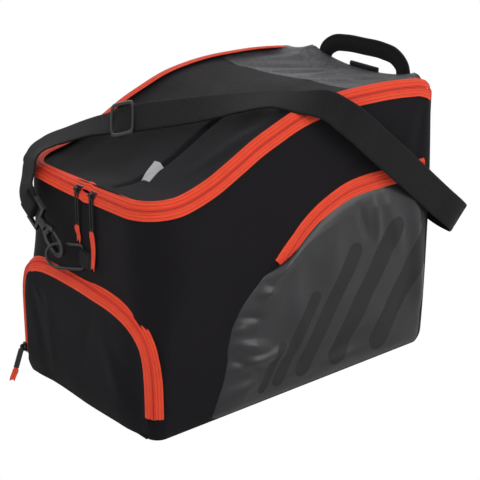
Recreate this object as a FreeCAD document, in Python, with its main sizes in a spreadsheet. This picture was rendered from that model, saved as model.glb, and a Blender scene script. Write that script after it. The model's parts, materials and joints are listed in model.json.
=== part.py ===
"""Ski boot bag: a parametric document of its fabric panels, zips, sliders, webbing and hardware.

Frame: millimetres, origin at the centre of the flat base, +X from the low front end with the arched
pocket to the tall rear end with the lid's hinge seam, -Y the side with the glossy pocket, +Z up.
"""
import FreeCAD, Part
import math
import os
from FreeCAD import Placement, Rotation, Vector

doc = FreeCAD.newDocument("SkiBootBag")

# Driving dimensions: alias, value, what it is.
DIMENSIONS = [
    ("bag_length", 406.0, "outside length of the main compartment"),
    ("bag_width", 240.0, "outside width"),
    ("front_height", 256.0, "height of the lid zip at the front"),
    ("slope_start", 48.0, "level stretch of the lid zip behind the front face"),
    ("slope_end", 163.0, "distance from the front face to the top of the slope"),
    ("slope_height", 312.0, "height of the lid zip at the top of the slope"),
    ("rear_height", 318.0, "height of the lid zip at the rear face"),
    ("crest_radius", 440.0, "radius of the crown over the rear half"),
    ("corner_front", 42.0, "plan radius of the front corners"),
    ("corner_rear", 28.0, "plan radius of the rear corners"),
    ("wall", 3.0, "padded wall thickness"),
    ("base_wall", 3.0, "base panel thickness"),
    ("board_wall", 2.5, "stiffening board thickness"),
    ("board_gap", 2.0, "gap between the stiffening board and the walls"),
    ("tape_width", 10.0, "width of one half of a zip tape"),
    ("tape_wall", 1.2, "thickness of a zip tape"),
    ("coil_width", 1.5, "width of one half of a zip coil"),
    ("coil_wall", 3.2, "thickness of a zip coil"),
    ("coil_proud", 1.0, "how far a zip coil stands out from its tape"),
    ("zip_gap", 0.3, "gap between the two halves of a coil"),
    ("zip_rear_end", 18.0, "distance from the rear face to the ends of the lid zip"),
    ("lid_wall", 3.0, "lid panel thickness"),
    ("mesh_start", 130.0, "distance from the rear face to the front edge of the lid's mesh"),
    ("lining_wall", 1.5, "thickness of the lining under the mesh"),
    ("lining_inset", 8.0, "inset of that lining from the lid's edge"),
    ("seat_gap", 0.3, "clearance between the lid and the rear panel's top edge"),
    ("pocket_depth", 11.0, "how far the front pocket stands out from the front face"),
    ("pocket_half", 113.0, "half width of the front pocket at its zip"),
    ("pocket_top", 148.0, "height of the front pocket's zip"),
    ("pocket_radius", 46.0, "radius of the front pocket's two top corners"),
    ("pocket_zip_end", 26.0, "height of the lower ends of the front pocket's zip"),
    ("flap_foot", 44.5, "height of the fold at the foot of the front pocket's flap"),
    ("pocket_slider_height", 33.5, "height of the front pocket's slider"),
    ("pocket_foot", 8.0, "height of the front pocket's floor"),
    ("pocket_floor_wall", 3.0, "thickness of the front pocket's floor"),
    ("gusset_wall", 2.0, "thickness of the front pocket's side band"),
    ("flap_wall", 2.5, "thickness of the front pocket's flap"),
    ("flap_gap", 0.4, "gap between the flap and the fixed front below it"),
    ("side_zip_height", 229.0, "height of the side pocket's zip over its level stretch"),
    ("side_zip_rear", 18.0, "distance from the rear face to the rear end of the side zip"),
    ("side_zip_bend", 133.0, "distance from the rear face to the start of the side zip's bend"),
    ("side_zip_radius", 105.0, "radius of the side zip's bend"),
    ("side_zip_drop", 66.0, "how far the side zip comes down at its front end"),
    ("side_panel_wall", 3.0, "thickness of the glossy side pocket"),
    ("side_seam_foot", 93.0, "distance from the front face to the foot of the glossy panel's seam"),
    ("side_seam_radius", 380.0, "radius of that seam"),
    ("strap_width", 38.0, "width of the shoulder strap's webbing"),
    ("strap_wall", 2.4, "thickness of the shoulder strap's webbing"),
    ("hook_width", 25.0, "outside width of a snap hook"),
    ("hook_wire", 5.4, "width of a snap hook's bow"),
    ("hook_plate", 5.0, "thickness of a snap hook"),
    ("hook_reach", 31.0, "from a snap hook's collar to the centre of its bow"),
    ("hook_shoulder", 13.0, "from a snap hook's collar to its full width"),
    ("hook_slot", 14.0, "straight length of a snap hook's opening"),
    ("gate_pivot", 15.0, "from a snap hook's collar to its gate's pin"),
    ("gate_shoulder", 3.4, "from the gate's pin to its full thickness"),
    ("gate_length", 13.5, "from the gate's pin to its tip"),
    ("gate_bar", 3.8, "width of the gate"),
    ("gate_gap", 0.35, "clearance round a gate"),
    ("gate_pin", 1.0, "radius of the gate's pin"),
    ("ear_wall", 1.3, "thickness of the two ears beside the gate's tongue"),
    ("collar_radius", 4.8, "radius of a snap hook's swivel collar"),
    ("collar_height", 7.0, "height of that collar"),
    ("pin_radius", 2.0, "radius of the swivel pin"),
    ("pin_gap", 0.08, "radial clearance of the swivel pin"),
    ("pin_head", 3.3, "radius of the swivel pin's head"),
    ("pin_head_wall", 1.5, "thickness of the swivel pin's head"),
    ("pin_head_drop", 11.2, "from the collar's foot to the swivel pin's head"),
    ("eye_wire", 4.0, "thickness of a hook's webbing eye"),
    ("eye_height", 12.0, "clear height of that eye"),
    ("eye_width", 27.0, "clear width of that eye"),
    ("fold_gap", 0.4, "clearance of the webbing fold round the eye's bar"),
    ("fold_tail", 14.0, "length of the stitched tail above the fold"),
    ("ring_wire", 1.8, "radius of a ring's wire"),
    ("ring_half", 14.0, "half width of a ring"),
    ("ring_length", 41.0, "length of a ring from its bar to its bow"),
    ("ring_gap", 0.35, "clearance round a ring's bar"),
    ("tab_wall", 1.8, "thickness of a webbing tab"),
    ("tab_width", 20.0, "width of a webbing tab"),
    ("tab_tail", 16.0, "length of a webbing tab's sewn tail"),
    ("front_ring_height", 179.0, "height of the front ring"),
    ("front_ring_lead", 40.0, "angle of the front ring from the front face, degrees"),
    ("front_hook_tilt", 57.0, "tilt of the front snap hook from upright, degrees"),
    ("front_hook_gap", 17.0, "gap between the front face and the front snap hook"),
    ("rear_ring_height", 297.0, "height of the rear ring's bar"),
    ("rear_ring_lead", 20.0, "angle of the rear ring from the rear face, degrees"),
    ("rear_hook_tilt", 30.0, "tilt of the rear snap hook from upright, degrees"),
    ("rear_hook_bite", 0.9, "from the centre of the rear hook's bow to the ring's wire"),
    ("front_hook_y", 17.5, "place of the front hook's bow along the front face"),
    ("front_hook_z", 190.5, "height of the centre of the front hook's bow"),
    ("front_ring_y", -3.0, "place of the front ring's bar along the front face"),
    ("ring_corner", 4.0, "bend radius beside a ring's bar"),
    ("slider_length", 11.0, "length of a zip slider"),
    ("slider_wall", 1.6, "thickness of a zip slider's plate and flanges"),
    ("slider_gap", 0.35, "clearance between a slider and its zip"),
    ("flange_gap", 0.35, "clearance between a slider's flanges and the tape"),
    ("bridge_radius", 0.9, "radius of a slider's bridge bar"),
    ("bridge_height", 3.4, "height of the bridge bar above the slider"),
    ("bridge_post", 1.6, "length of a bridge post"),
    ("pull_wall", 1.8, "thickness of a pull"),
    ("pull_width", 6.0, "width of a pull"),
    ("pull_length", 40.0, "length of a lid pull's loop"),
    ("small_pull_length", 24.0, "length of a pocket pull's loop"),
    ("pull_eye", 2.5, "outside radius of a pull's eye"),
    ("pocket_pull_lean", 42.0, "lean of the front pocket's pull from upright, degrees"),
    ("pocket_pull_heading", 212.0, "plan direction of that lean, degrees from +X"),
    ("pull_slot", 2.4, "width of the slot in a pull's loop"),
    ("ribbon_wall", 1.2, "thickness of a pull's ribbon"),
    ("ribbon_width", 7.0, "width of a pull's ribbon"),
    ("left_ribbon_length", 20.0, "length of the left lid slider's ribbon"),
    ("right_ribbon_length", 44.0, "length of the right lid slider's ribbon"),
    ("small_ribbon_length", 16.0, "length of a pocket pull's ribbon"),
    ("left_slider_place", 1.0, "place of the left lid slider along the front"),
    ("right_slider_place", -26.0, "place of the right lid slider along the front"),
    ("side_slider_place", 28.0, "distance from the rear face to the side slider"),
    ("handle_width", 18.0, "width of the grab handle's padded webbing"),
    ("handle_wall", 5.0, "thickness of the grab handle"),
    ("handle_half", 68.0, "half span of the grab handle"),
    ("handle_shift", 4.0, "shift of the grab handle towards +Y"),
    ("handle_top", 342.0, "height of the grab handle's centreline"),
    ("handle_foot", 306.0, "height of the grab handle's lower ends"),
    ("handle_radius", 22.0, "radius of the grab handle's two bends"),
    ("handle_gap", 3.0, "gap between the rear face and the grab handle"),
    ("anchor_width", 24.0, "width of a sewn webbing anchor"),
    ("anchor_height", 30.0, "height of a sewn webbing anchor"),
    ("strap_float", 1.5, "clearance between the shoulder strap and the lid"),
    ("strap_side_gap", 14.0, "gap between the near side and the strap that crosses it"),
    ("strap_front_x", 4.0, "where the strap leaves the lid, from the front face"),
    ("strap_front_y", 9.0, "where the strap leaves the lid, from the far side"),
    ("strap_rim_x", 19.0, "where the strap crosses the near side's rim, past the middle"),
    ("strap_rim_gap", 6.0, "how far the strap overhangs the near side's rim"),
    ("strap_bend_x", 33.0, "how far the strap's bend stands behind the rear face"),
    ("strap_bend_z", 151.0, "height of the strap's bend"),
    ("adjuster_place", 92.0, "place of the strap adjuster along the strap over the lid"),
    ("adjuster_length", 30.0, "length of the strap adjuster"),
    ("adjuster_rim", 4.0, "width of the strap adjuster's bars"),
    ("adjuster_wall", 3.0, "thickness of the strap adjuster"),
    ("adjuster_gap", 0.4, "clearance between the adjuster and the webbing"),
    ("label_length", 46.0, "length of the woven label"),
    ("label_width", 22.0, "width of the woven label"),
    ("label_wall", 0.8, "thickness of the woven label"),
]

sheet = doc.addObject("Spreadsheet::Sheet", "Sizes")
for row, (alias, value, meaning) in enumerate(DIMENSIONS, start=1):
    sheet.set(f"A{row}", meaning)
    sheet.set(f"B{row}", str(value))
    sheet.setAlias(f"B{row}", alias)
doc.recompute()


class Length:
    """A size together with the sheet expression that gives it, so that sums of sizes stay bound."""

    def __init__(self, value, text):
        self.value = value
        self.text = text

    def joined(self, other, sign, result):
        other_text = other.text if isinstance(other, Length) else repr(float(other))
        return Length(result, f"({self.text} {sign} {other_text})")

    def __add__(self, other):
        return self.joined(other, "+", self.value + plain(other))

    def __sub__(self, other):
        return self.joined(other, "-", self.value - plain(other))

    def __mul__(self, other):
        return self.joined(other, "*", self.value * plain(other))

    def __truediv__(self, other):
        return self.joined(other, "/", self.value / plain(other))

    def __neg__(self):
        return Length(-self.value, f"(-1 * {self.text})")


def plain(size):
    """The number in a Length, or the number itself."""
    return size.value if isinstance(size, Length) else float(size)


class Sizes:
    """The sheet's aliases as Length attributes."""

    def __init__(self):
        for name, _, _ in DIMENSIONS:
            setattr(self, name, Length(float(sheet.get(name)), f"Sizes.{name}"))


s = Sizes()
ZERO = Length(0.0, "0.0")
NODES = []

# Places that several pieces share.
front = -s.bag_length / 2
rear = s.bag_length / 2
near = -s.bag_width / 2
lid_low = s.tape_width + s.coil_width
lid_high = lid_low + s.lid_wall
hinge_height = s.rear_height + lid_high
pocket_face = front - s.pocket_depth


def bind(item, name, size):
    """Set a property and bind it to the sheet."""
    if isinstance(size, Length):
        item.setExpression(name, size.text)
    else:
        item.setExpression(name, repr(float(size)))


def place(item, base, axis=Vector(0, 0, 1), angle=0.0):
    """Give an object its Placement from a point and one turn."""
    item.Placement = Placement(Vector(*[plain(v) for v in base]), Rotation(axis, plain(angle)))


def node(item, label):
    """Record an object as a sub-part that is exported under its label."""
    item.Label = label
    NODES.append(item)
    return item


def new_body(name):
    return doc.addObject("PartDesign::Body", name)


def new_sketch(body, role, offset=None):
    """A sketch on one of the body's own origin planes, moved along that plane's normal by offset."""
    sketch = body.newObject("Sketcher::SketchObject", body.Name + "_sketch")
    plane = [item for item in body.Origin.OriginFeatures if item.Role == role][0]
    sketch.AttachmentSupport = [(plane, "")]
    sketch.MapMode = "FlatFace"
    if offset is not None:
        bind(sketch, "AttachmentOffset.Base.z", offset)
    return sketch


def edge_between(start, end, bend):
    """A line, or an arc of the radius in bend whose side is that number's sign."""
    if bend is None:
        return Part.LineSegment(start, end)
    radius = plain(bend)
    chord = end - start
    rise = abs(radius) - math.sqrt(radius ** 2 - (chord.Length / 2) ** 2)
    side = Vector(chord.y, -chord.x, 0).normalize() * math.copysign(rise, radius)
    return Part.Arc(start, (start + end) / 2 + side, end)


def outline(sketch, points, closed=True):
    """Draw points (x, y) or (x, y, radius of the edge that follows), each bound to the sheet."""
    spots = [Vector(plain(p[0]), plain(p[1]), 0) for p in points]
    count = len(points) if closed else len(points) - 1
    for i in range(count):
        bend = points[i][2] if len(points[i]) > 2 else None
        sketch.addGeometry(edge_between(spots[i], spots[(i + 1) % len(points)], bend), False)
    clockwise = [len(points[i]) > 2 and plain(points[i][2]) < 0 for i in range(count)]
    for i in range(count if closed else count - 1):
        after = (i + 1) % count
        end_here = 1 if clockwise[i] else 2
        start_after = 2 if clockwise[after] else 1
        sketch.addConstraint(_constraint("Coincident", i, end_here, after, start_after))
    for i in range(len(points)):
        edge = min(i, count - 1)
        at_start = i < count
        which = 1 if at_start != clockwise[edge] else 2
        for kind, size in (("DistanceX", points[i][0]), ("DistanceY", points[i][1])):
            index = sketch.addConstraint(_constraint(kind, -1, 1, edge, which, plain(size)))
            bind(sketch, f"Constraints[{index}]", size)
    for i in range(count):
        if len(points[i]) > 2 and points[i][2] is not None:
            radius = points[i][2]
            size = radius if plain(radius) > 0 else -radius
            index = sketch.addConstraint(_constraint("Radius", i, plain(size)))
            bind(sketch, f"Constraints[{index}]", size)


def _constraint(*values):
    import Sketcher
    return Sketcher.Constraint(*values)


def circle(sketch, x, y, radius):
    """A circle whose centre and radius are bound to the sheet."""
    index = sketch.addGeometry(Part.Circle(Vector(plain(x), plain(y), 0), Vector(0, 0, 1), plain(radius)), False)
    sizes = (("DistanceX", x), ("DistanceY", y))
    for kind, size in sizes:
        number = sketch.addConstraint(_constraint(kind, -1, 1, index, 3, plain(size)))
        bind(sketch, f"Constraints[{number}]", size)
    number = sketch.addConstraint(_constraint("Radius", index, plain(radius)))
    bind(sketch, f"Constraints[{number}]", radius)


def pad(body, sketch, length, symmetric=False, backwards=False):
    feature = body.newObject("PartDesign::Pad", body.Name + "_pad")
    feature.Profile = sketch
    feature.SideType = "Symmetric" if symmetric else "One side"
    feature.Reversed = backwards
    bind(feature, "Length", length)
    doc.recompute()
    return feature


def pocket(body, sketch, length=None, symmetric=False, backwards=False):
    """Cut a sketch out of the body, right through when no length is given; it must remove material."""
    before = body.Tip.Shape.Volume
    feature = body.newObject("PartDesign::Pocket", body.Name + "_pocket")
    feature.Profile = sketch
    feature.SideType = "Symmetric" if symmetric else "One side"
    feature.Reversed = backwards
    if length is None:
        feature.Type = "ThroughAll"
    else:
        bind(feature, "Length", length)
    doc.recompute()
    if feature.Shape.Volume >= before:
        raise RuntimeError(f"{feature.Name} cuts nothing")
    return feature


def fillet(body, radius, chosen):
    """Round the edges of the body's tip for which chosen(edge centre, edge direction) is true."""
    tip = body.Tip
    names = []
    for i, edge in enumerate(tip.Shape.Edges, start=1):
        direction = edge.tangentAt(edge.FirstParameter)
        if edge.Curve.TypeId == "Part::GeomLine" and chosen(edge.CenterOfMass, direction):
            names.append(f"Edge{i}")
    feature = body.newObject("PartDesign::Fillet", body.Name + "_fillet")
    feature.Base = (tip, names)
    bind(feature, "Radius", radius)
    doc.recompute()
    return feature


def pipe(body, path, profile):
    feature = body.newObject("PartDesign::AdditivePipe", body.Name + "_pipe")
    feature.Profile = profile
    feature.Spine = (path, [f"Edge{i + 1}" for i in range(path.GeometryCount)])
    doc.recompute()
    return feature


def boolean(kind, name, first, second):
    item = doc.addObject(f"Part::{kind}", name)
    item.Base = first
    item.Tool = second
    doc.recompute()
    return item


def box(name, low, high):
    """A Part::Box between two corners given as Lengths."""
    item = doc.addObject("Part::Box", name)
    for axis, prop, a, b in zip("xyz", ("Length", "Width", "Height"), low, high):
        bind(item, prop, b - a)
        bind(item, f"Placement.Base.{axis}", a)
    return item


def rectangle(x_low, x_high, y_low, y_high):
    return [(x_low, y_low), (x_high, y_low), (x_high, y_high), (x_low, y_high)]


# ---------------------------------------------------------------- main compartment and lid

def upper_edge(raised):
    """The side profile of the lid zip, front to rear, raised by a height."""
    return [
        (front, s.front_height + raised),
        (front + s.slope_start, s.front_height + raised),
        (front + s.slope_end, s.slope_height + raised, -s.crest_radius),
        (rear, s.rear_height + raised),
    ]


def plan_prism(name, inset, foot, height):
    """An upright prism of the bag's rounded plan, inset all round."""
    body = new_body(name)
    sketch = new_sketch(body, "XY_Plane", foot)
    outline(sketch, rectangle(front + inset, rear - inset, near + inset, -near - inset))
    pad(body, sketch, height)
    fillet(body, s.corner_front - inset, lambda c, d: abs(d.z) > 0.99 and c.x < 0)
    fillet(body, s.corner_rear - inset, lambda c, d: abs(d.z) > 0.99 and c.x > 0)
    return body


def rim_block(name, low, high, inset, floor=None):
    """A block of the bag's plan between two lines parallel to the lid zip, or from a level floor."""
    body = new_body(name + "_profile")
    sketch = new_sketch(body, "XZ_Plane")
    top = upper_edge(high)
    if floor is not None:
        bottom = [(rear, floor), (front, floor)]
    else:
        under = upper_edge(low)
        bottom = [(rear, under[3][1], s.crest_radius), (under[2][0], under[2][1])] + under[1::-1]
    outline(sketch, top + bottom)
    pad(body, sketch, s.bag_width + s.wall * 2, symmetric=True)
    prism = plan_prism(name + "_plan", inset, -s.wall * 2, s.rear_height * 2)
    return boolean("Common", name, body, prism)


ALL_Y = (near - 20.0, -near + 20.0)
ALL_Z = (ZERO - 20.0, s.rear_height + 120.0)


def part_of(source, label, x_low, x_high, y_range=ALL_Y, z_range=ALL_Z):
    """The stretch of a source solid inside a box, as a node."""
    limits = box(label + "_limits", (x_low, y_range[0], z_range[0]), (x_high, y_range[1], z_range[1]))
    return node(boolean("Common", label, source, limits), label)


def ring(name, low, high, inset, wall, floor=None):
    """The wall of a rim block, open above and below."""
    outer = rim_block(name + "_outer", low, high, inset, floor)
    spare = s.wall
    inner_low = low - spare if low is not None else None
    inner_floor = floor - spare if floor is not None else None
    inner = rim_block(name + "_inner", inner_low, high + spare, inset + wall, inner_floor)
    return boolean("Cut", name, outer, inner)


def main_panels():
    """Four wall panels sewn edge to edge round the plan, the base panel and its stiffening board."""
    below_tape = -(s.tape_width + s.coil_width)
    walls = ring("walls", None, below_tape, ZERO, s.wall, floor=s.base_wall)
    front_seam = front + s.slope_start
    rear_seam = rear - s.corner_rear
    part_of(walls, "front_panel", front - 20.0, front_seam)
    part_of(walls, "side_panel_near", front_seam, rear_seam, (near - 20.0, ZERO))
    part_of(walls, "side_panel_far", front_seam, rear_seam, (ZERO, -near + 20.0))
    rear_walls = ring("rear_walls", None, lid_low - s.seat_gap, ZERO, s.wall, floor=s.base_wall)
    lower = doc.addObject("Part::Common", "rear_panel_low")
    lower.Base = walls
    lower.Tool = box("rear_low_limits", (rear_seam, ALL_Y[0], ALL_Z[0]), (rear + 20.0, ALL_Y[1], ALL_Z[1]))
    upper = doc.addObject("Part::Common", "rear_panel_high")
    upper.Base = rear_walls
    start = rear - s.zip_rear_end + 1.0
    upper.Tool = box("rear_high_limits", (start, ALL_Y[0], ALL_Z[0]), (rear + 20.0, ALL_Y[1], ALL_Z[1]))
    node(boolean("Fuse", "rear_panel", lower, upper), "rear_panel")

    for label, inset, low, thick in (
        ("base_panel", ZERO, ZERO, s.base_wall),
        ("base_board", s.wall + s.board_gap, s.base_wall, s.board_wall),
    ):
        node(plan_prism(label, inset, low, thick), label)


def lid_panels():
    """The lid: a fabric front, a mesh rear with a lining under it, and a woven label."""
    slab = rim_block("lid_slab", lid_low, lid_high, ZERO)
    mesh_front = rear - s.mesh_start
    part_of(slab, "lid_panel", front - 20.0, mesh_front)
    part_of(slab, "lid_mesh_panel", mesh_front, rear + 20.0)
    lining = rim_block("lining_slab", lid_low - s.lining_wall, lid_low, s.lining_inset)
    part_of(lining, "lid_lining", mesh_front, rear + 20.0)

    label = node(doc.addObject("Part::Box", "lid_label"), "lid_label")
    bind(label, "Length", s.label_width)
    bind(label, "Width", s.label_length)
    bind(label, "Height", s.label_wall)
    slope = math.degrees(math.atan2(
        plain(s.slope_height - s.front_height), plain(s.slope_end - s.slope_start)))
    start = (front + s.slope_start, -s.label_length * 1.3, s.front_height + lid_high)
    place(label, start, Vector(0, 1, 0), -slope)


def lid_zip():
    """Both halves of the lid zip: a tape and a coil half each, open at the rear."""
    gap = s.zip_gap / 2
    start = front - 20.0
    end = rear - s.zip_rear_end
    for side, sign in (("lower", -1), ("upper", 1)):
        edge_near = s.coil_width if sign > 0 else -(s.coil_width + s.tape_width)
        edge_far = s.coil_width + s.tape_width if sign > 0 else -s.coil_width
        tape = ring(f"lid_tape_{side}_ring", edge_near, edge_far, ZERO, s.tape_wall)
        part_of(tape, f"lid_tape_{side}", start, end)
        coil_near = gap if sign > 0 else -s.coil_width
        coil_far = s.coil_width if sign > 0 else -gap
        coil = ring(f"lid_coil_{side}_ring", coil_near, coil_far, -s.coil_proud, s.coil_wall)
        part_of(coil, f"lid_coil_{side}", start, end)


# ---------------------------------------------------------------- front pocket

def arch_path(body, half, top, foot, radius, plane_x):
    """An open arch of two legs, two round corners and a level top, in a plane across the bag."""
    path = new_sketch(body, "YZ_Plane", plane_x)
    bend = -radius
    outline(path, [
        (-half, foot),
        (-half, top - radius, bend),
        (-half + radius, top),
        (half - radius, top, bend),
        (half, top - radius),
        (half, foot),
    ], closed=False)
    return path


def arch_band(label, half, top, foot, radius, x_low, x_high, offset_low, offset_high):
    """A band that follows an arch: x range across it, offsets outwards from its line."""
    body = new_body(label)
    path = arch_path(body, half, top, foot, radius, ZERO)
    profile = new_sketch(body, "XY_Plane", foot)
    outline(profile, rectangle(x_low, x_high, -half - offset_high, -half - offset_low))
    pipe(body, path, profile)
    return body


def front_pocket():
    """A pocket of a side band, a floor, a low apron and the flap above it, joined by an arched zip."""
    arch = (s.pocket_half, s.pocket_top, s.pocket_foot, s.pocket_radius)
    zip_arch = (s.pocket_half, s.pocket_top, s.pocket_zip_end, s.pocket_radius)
    outside = s.coil_width + s.tape_width / 2
    filled = rim_block("pocket_cutter", None, ZERO, ZERO, floor=ZERO)
    band = arch_band("pocket_band", *arch, pocket_face, front + s.corner_front, outside - s.gusset_wall, outside)
    node(boolean("Cut", "pocket_gusset", band, filled), "pocket_gusset")
    floor_half = s.pocket_half + outside
    floor = box("pocket_floor_plate", (pocket_face, -floor_half, s.pocket_foot - s.pocket_floor_wall),
                (front + s.corner_front, floor_half, s.pocket_foot))
    node(boolean("Cut", "pocket_floor", floor, filled), "pocket_floor")

    gap = s.zip_gap / 2
    face = pocket_face - s.tape_wall
    coil_face = pocket_face - s.tape_wall - s.coil_proud
    coil_back = coil_face + s.coil_wall
    node(arch_band("pocket_tape_outer", *arch, face, pocket_face, s.coil_width, outside), "pocket_tape_outer")
    node(arch_band("pocket_coil_outer", *zip_arch, coil_face, coil_back, gap, s.coil_width), "pocket_coil_outer")
    flap_arch = (s.pocket_half, s.pocket_top, s.flap_foot, s.pocket_radius)
    node(arch_band("pocket_coil_inner", *flap_arch, coil_face, coil_back, -s.coil_width, -gap), "pocket_coil_inner")

    inner_half = s.pocket_half - s.coil_width
    inner_top = s.pocket_top - s.coil_width
    inner_radius = s.pocket_radius - s.coil_width
    foot = s.flap_foot
    tape = arch_band("pocket_tape_inner", inner_half, inner_top, foot, inner_radius,
                     face, pocket_face, -s.tape_width, ZERO)
    node(tape, "pocket_tape_inner")
    flap = node(new_body("pocket_flap"), "pocket_flap")
    sketch = new_sketch(flap, "YZ_Plane", pocket_face)
    outline(sketch, [
        (-inner_half, foot),
        (-inner_half, inner_top - inner_radius, -inner_radius),
        (-inner_half + inner_radius, inner_top),
        (inner_half - inner_radius, inner_top, -inner_radius),
        (inner_half, inner_top - inner_radius),
        (inner_half, foot),
    ])
    pad(flap, sketch, s.flap_wall)
    apron = box("pocket_apron", (pocket_face, -s.pocket_half, s.pocket_foot),
                (pocket_face + s.flap_wall, s.pocket_half, foot - s.flap_gap))
    node(apron, "pocket_apron")


# ---------------------------------------------------------------- side pocket

def side_zip_line():
    """The side zip from its rear end forward along its level stretch and down round its bend."""
    radius = plain(s.side_zip_radius)
    drop = plain(s.side_zip_drop)
    reach = math.sqrt(radius ** 2 - (radius - drop) ** 2)
    bend_x = rear - s.side_zip_bend
    return [
        (rear - s.side_zip_rear, s.side_zip_height),
        (bend_x, s.side_zip_height, s.side_zip_radius),
        (bend_x - reach, s.side_zip_height - s.side_zip_drop),
    ]


def side_band(label, face, back, offset_low, offset_high):
    """A band along the side zip, between two depths, offset upwards from the zip's line."""
    body = new_body(label)
    path = new_sketch(body, "XZ_Plane", -near)
    outline(path, side_zip_line(), closed=False)
    profile = new_sketch(body, "YZ_Plane", rear - s.side_zip_rear)
    outline(profile, rectangle(face, back, s.side_zip_height + offset_low, s.side_zip_height + offset_high))
    pipe(body, path, profile)
    return node(body, label)


def side_pocket():
    """The glossy patch pocket and the zip along its upper edge."""
    line = side_zip_line()
    face = near - s.side_panel_wall
    under = -(s.coil_width + s.tape_width)
    panel = node(new_body("side_pocket_panel"), "side_pocket_panel")
    sketch = new_sketch(panel, "XZ_Plane", -near)
    arc_radius = s.side_zip_radius - (s.coil_width + s.tape_width)
    scale = plain(arc_radius) / plain(s.side_zip_radius)
    bend_x = line[1][0]
    centre_z = s.side_zip_height - s.side_zip_radius
    end_x = bend_x + (line[2][0] - bend_x) * scale
    end_z = centre_z + (line[2][1] - centre_z) * scale
    outline(sketch, [
        (rear - s.corner_rear, s.base_wall),
        (rear - s.corner_rear, s.side_zip_height + under),
        (bend_x, s.side_zip_height + under, arc_radius),
        (end_x, end_z, s.side_seam_radius),
        (front + s.side_seam_foot, s.base_wall),
    ])
    pad(panel, sketch, s.side_panel_wall)
    tape_face = near - s.tape_wall
    side_band("side_tape_lower", tape_face, near, under, -s.coil_width)
    side_band("side_tape_upper", tape_face, near, s.coil_width, -under)
    side_band("side_coil", tape_face - s.coil_proud, near, -s.coil_width, s.coil_width)
    return face


# ---------------------------------------------------------------- sliders and pulls

def slider(label, turn, base):
    """A slider over a zip coil: plate, two flanges and a bridge. Local +X travel, +Z outwards."""
    body = node(new_body(label), label)
    half = s.coil_width + s.slider_gap
    low = s.flange_gap
    top = s.coil_proud + s.slider_gap
    outer = half + s.slider_wall
    cross = new_sketch(body, "YZ_Plane")
    outline(cross, [
        (-outer, low), (-half, low), (-half, top), (half, top), (half, low), (outer, low),
        (outer, top + s.slider_wall), (-outer, top + s.slider_wall),
    ])
    pad(body, cross, s.slider_length, symmetric=True)
    fillet(body, s.slider_wall * 0.8, lambda c, d: abs(d.z) > 0.99 and abs(c.x) > plain(s.slider_length) / 2 - 0.1
           and abs(c.y) > plain(outer) - 0.1)
    crown = top + s.slider_wall
    bar = crown + s.bridge_height
    span = s.slider_length / 2 - 1.0
    side = new_sketch(body, "XZ_Plane")
    outline(side, [
        (-span, crown), (-span + s.bridge_post, crown),
        (-span + s.bridge_post, bar - s.bridge_radius), (span - s.bridge_post, bar - s.bridge_radius),
        (span - s.bridge_post, crown), (span, crown),
        (span, bar + s.bridge_radius), (-span, bar + s.bridge_radius),
    ])
    pad(body, side, s.bridge_radius * 2, symmetric=True)
    body.Placement = Placement(Vector(*[plain(v) for v in base]), turn)
    return body


def pull(label, length, turn, base):
    """A pull: an eye round the bridge bar and a slotted loop. Local +X bar, -Y down, +Z outwards."""
    body = node(new_body(label), label)
    bar = s.coil_proud + s.slider_gap + s.slider_wall + s.bridge_height
    width = s.slider_length - 2.0 - s.bridge_post * 2 - s.slider_gap * 2
    side = new_sketch(body, "YZ_Plane")
    circle(side, ZERO, bar, s.pull_eye)
    pad(body, side, width, symmetric=True)
    tail = new_sketch(body, "YZ_Plane")
    half = s.pull_wall / 2
    outline(tail, rectangle(-length, ZERO - s.pull_eye * 0.6, bar - half, bar + half))
    pad(body, tail, s.pull_width, symmetric=True)
    bore = new_sketch(body, "YZ_Plane")
    circle(bore, ZERO, bar, s.bridge_radius + s.bridge_radius / 2)
    pocket(body, bore, s.pull_width * 2, symmetric=True)
    slot = new_sketch(body, "XY_Plane")
    margin = s.pull_wall * 1.5
    outline(slot, rectangle(-s.pull_slot / 2, s.pull_slot / 2, -length + margin, -s.pull_eye - margin))
    pocket(body, slot, bar * 3, symmetric=True)
    body.Placement = Placement(Vector(*[plain(v) for v in base]), turn)
    return body


def ribbon(label, length, start, turn, base):
    """A ribbon with a notched end, knotted to the end of a pull."""
    body = node(new_body(label), label)
    bar = s.coil_proud + s.slider_gap + s.slider_wall + s.bridge_height
    sketch = new_sketch(body, "XY_Plane", bar - s.ribbon_wall / 2)
    half = s.ribbon_width / 2
    outline(sketch, [
        (-half * 0.6, -start), (-half, -start - length), (ZERO, -start - length + half),
        (half, -start - length), (half * 0.6, -start),
    ])
    pad(body, sketch, s.ribbon_wall)
    body.Placement = Placement(Vector(*[plain(v) for v in base]), turn)
    return body


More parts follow.
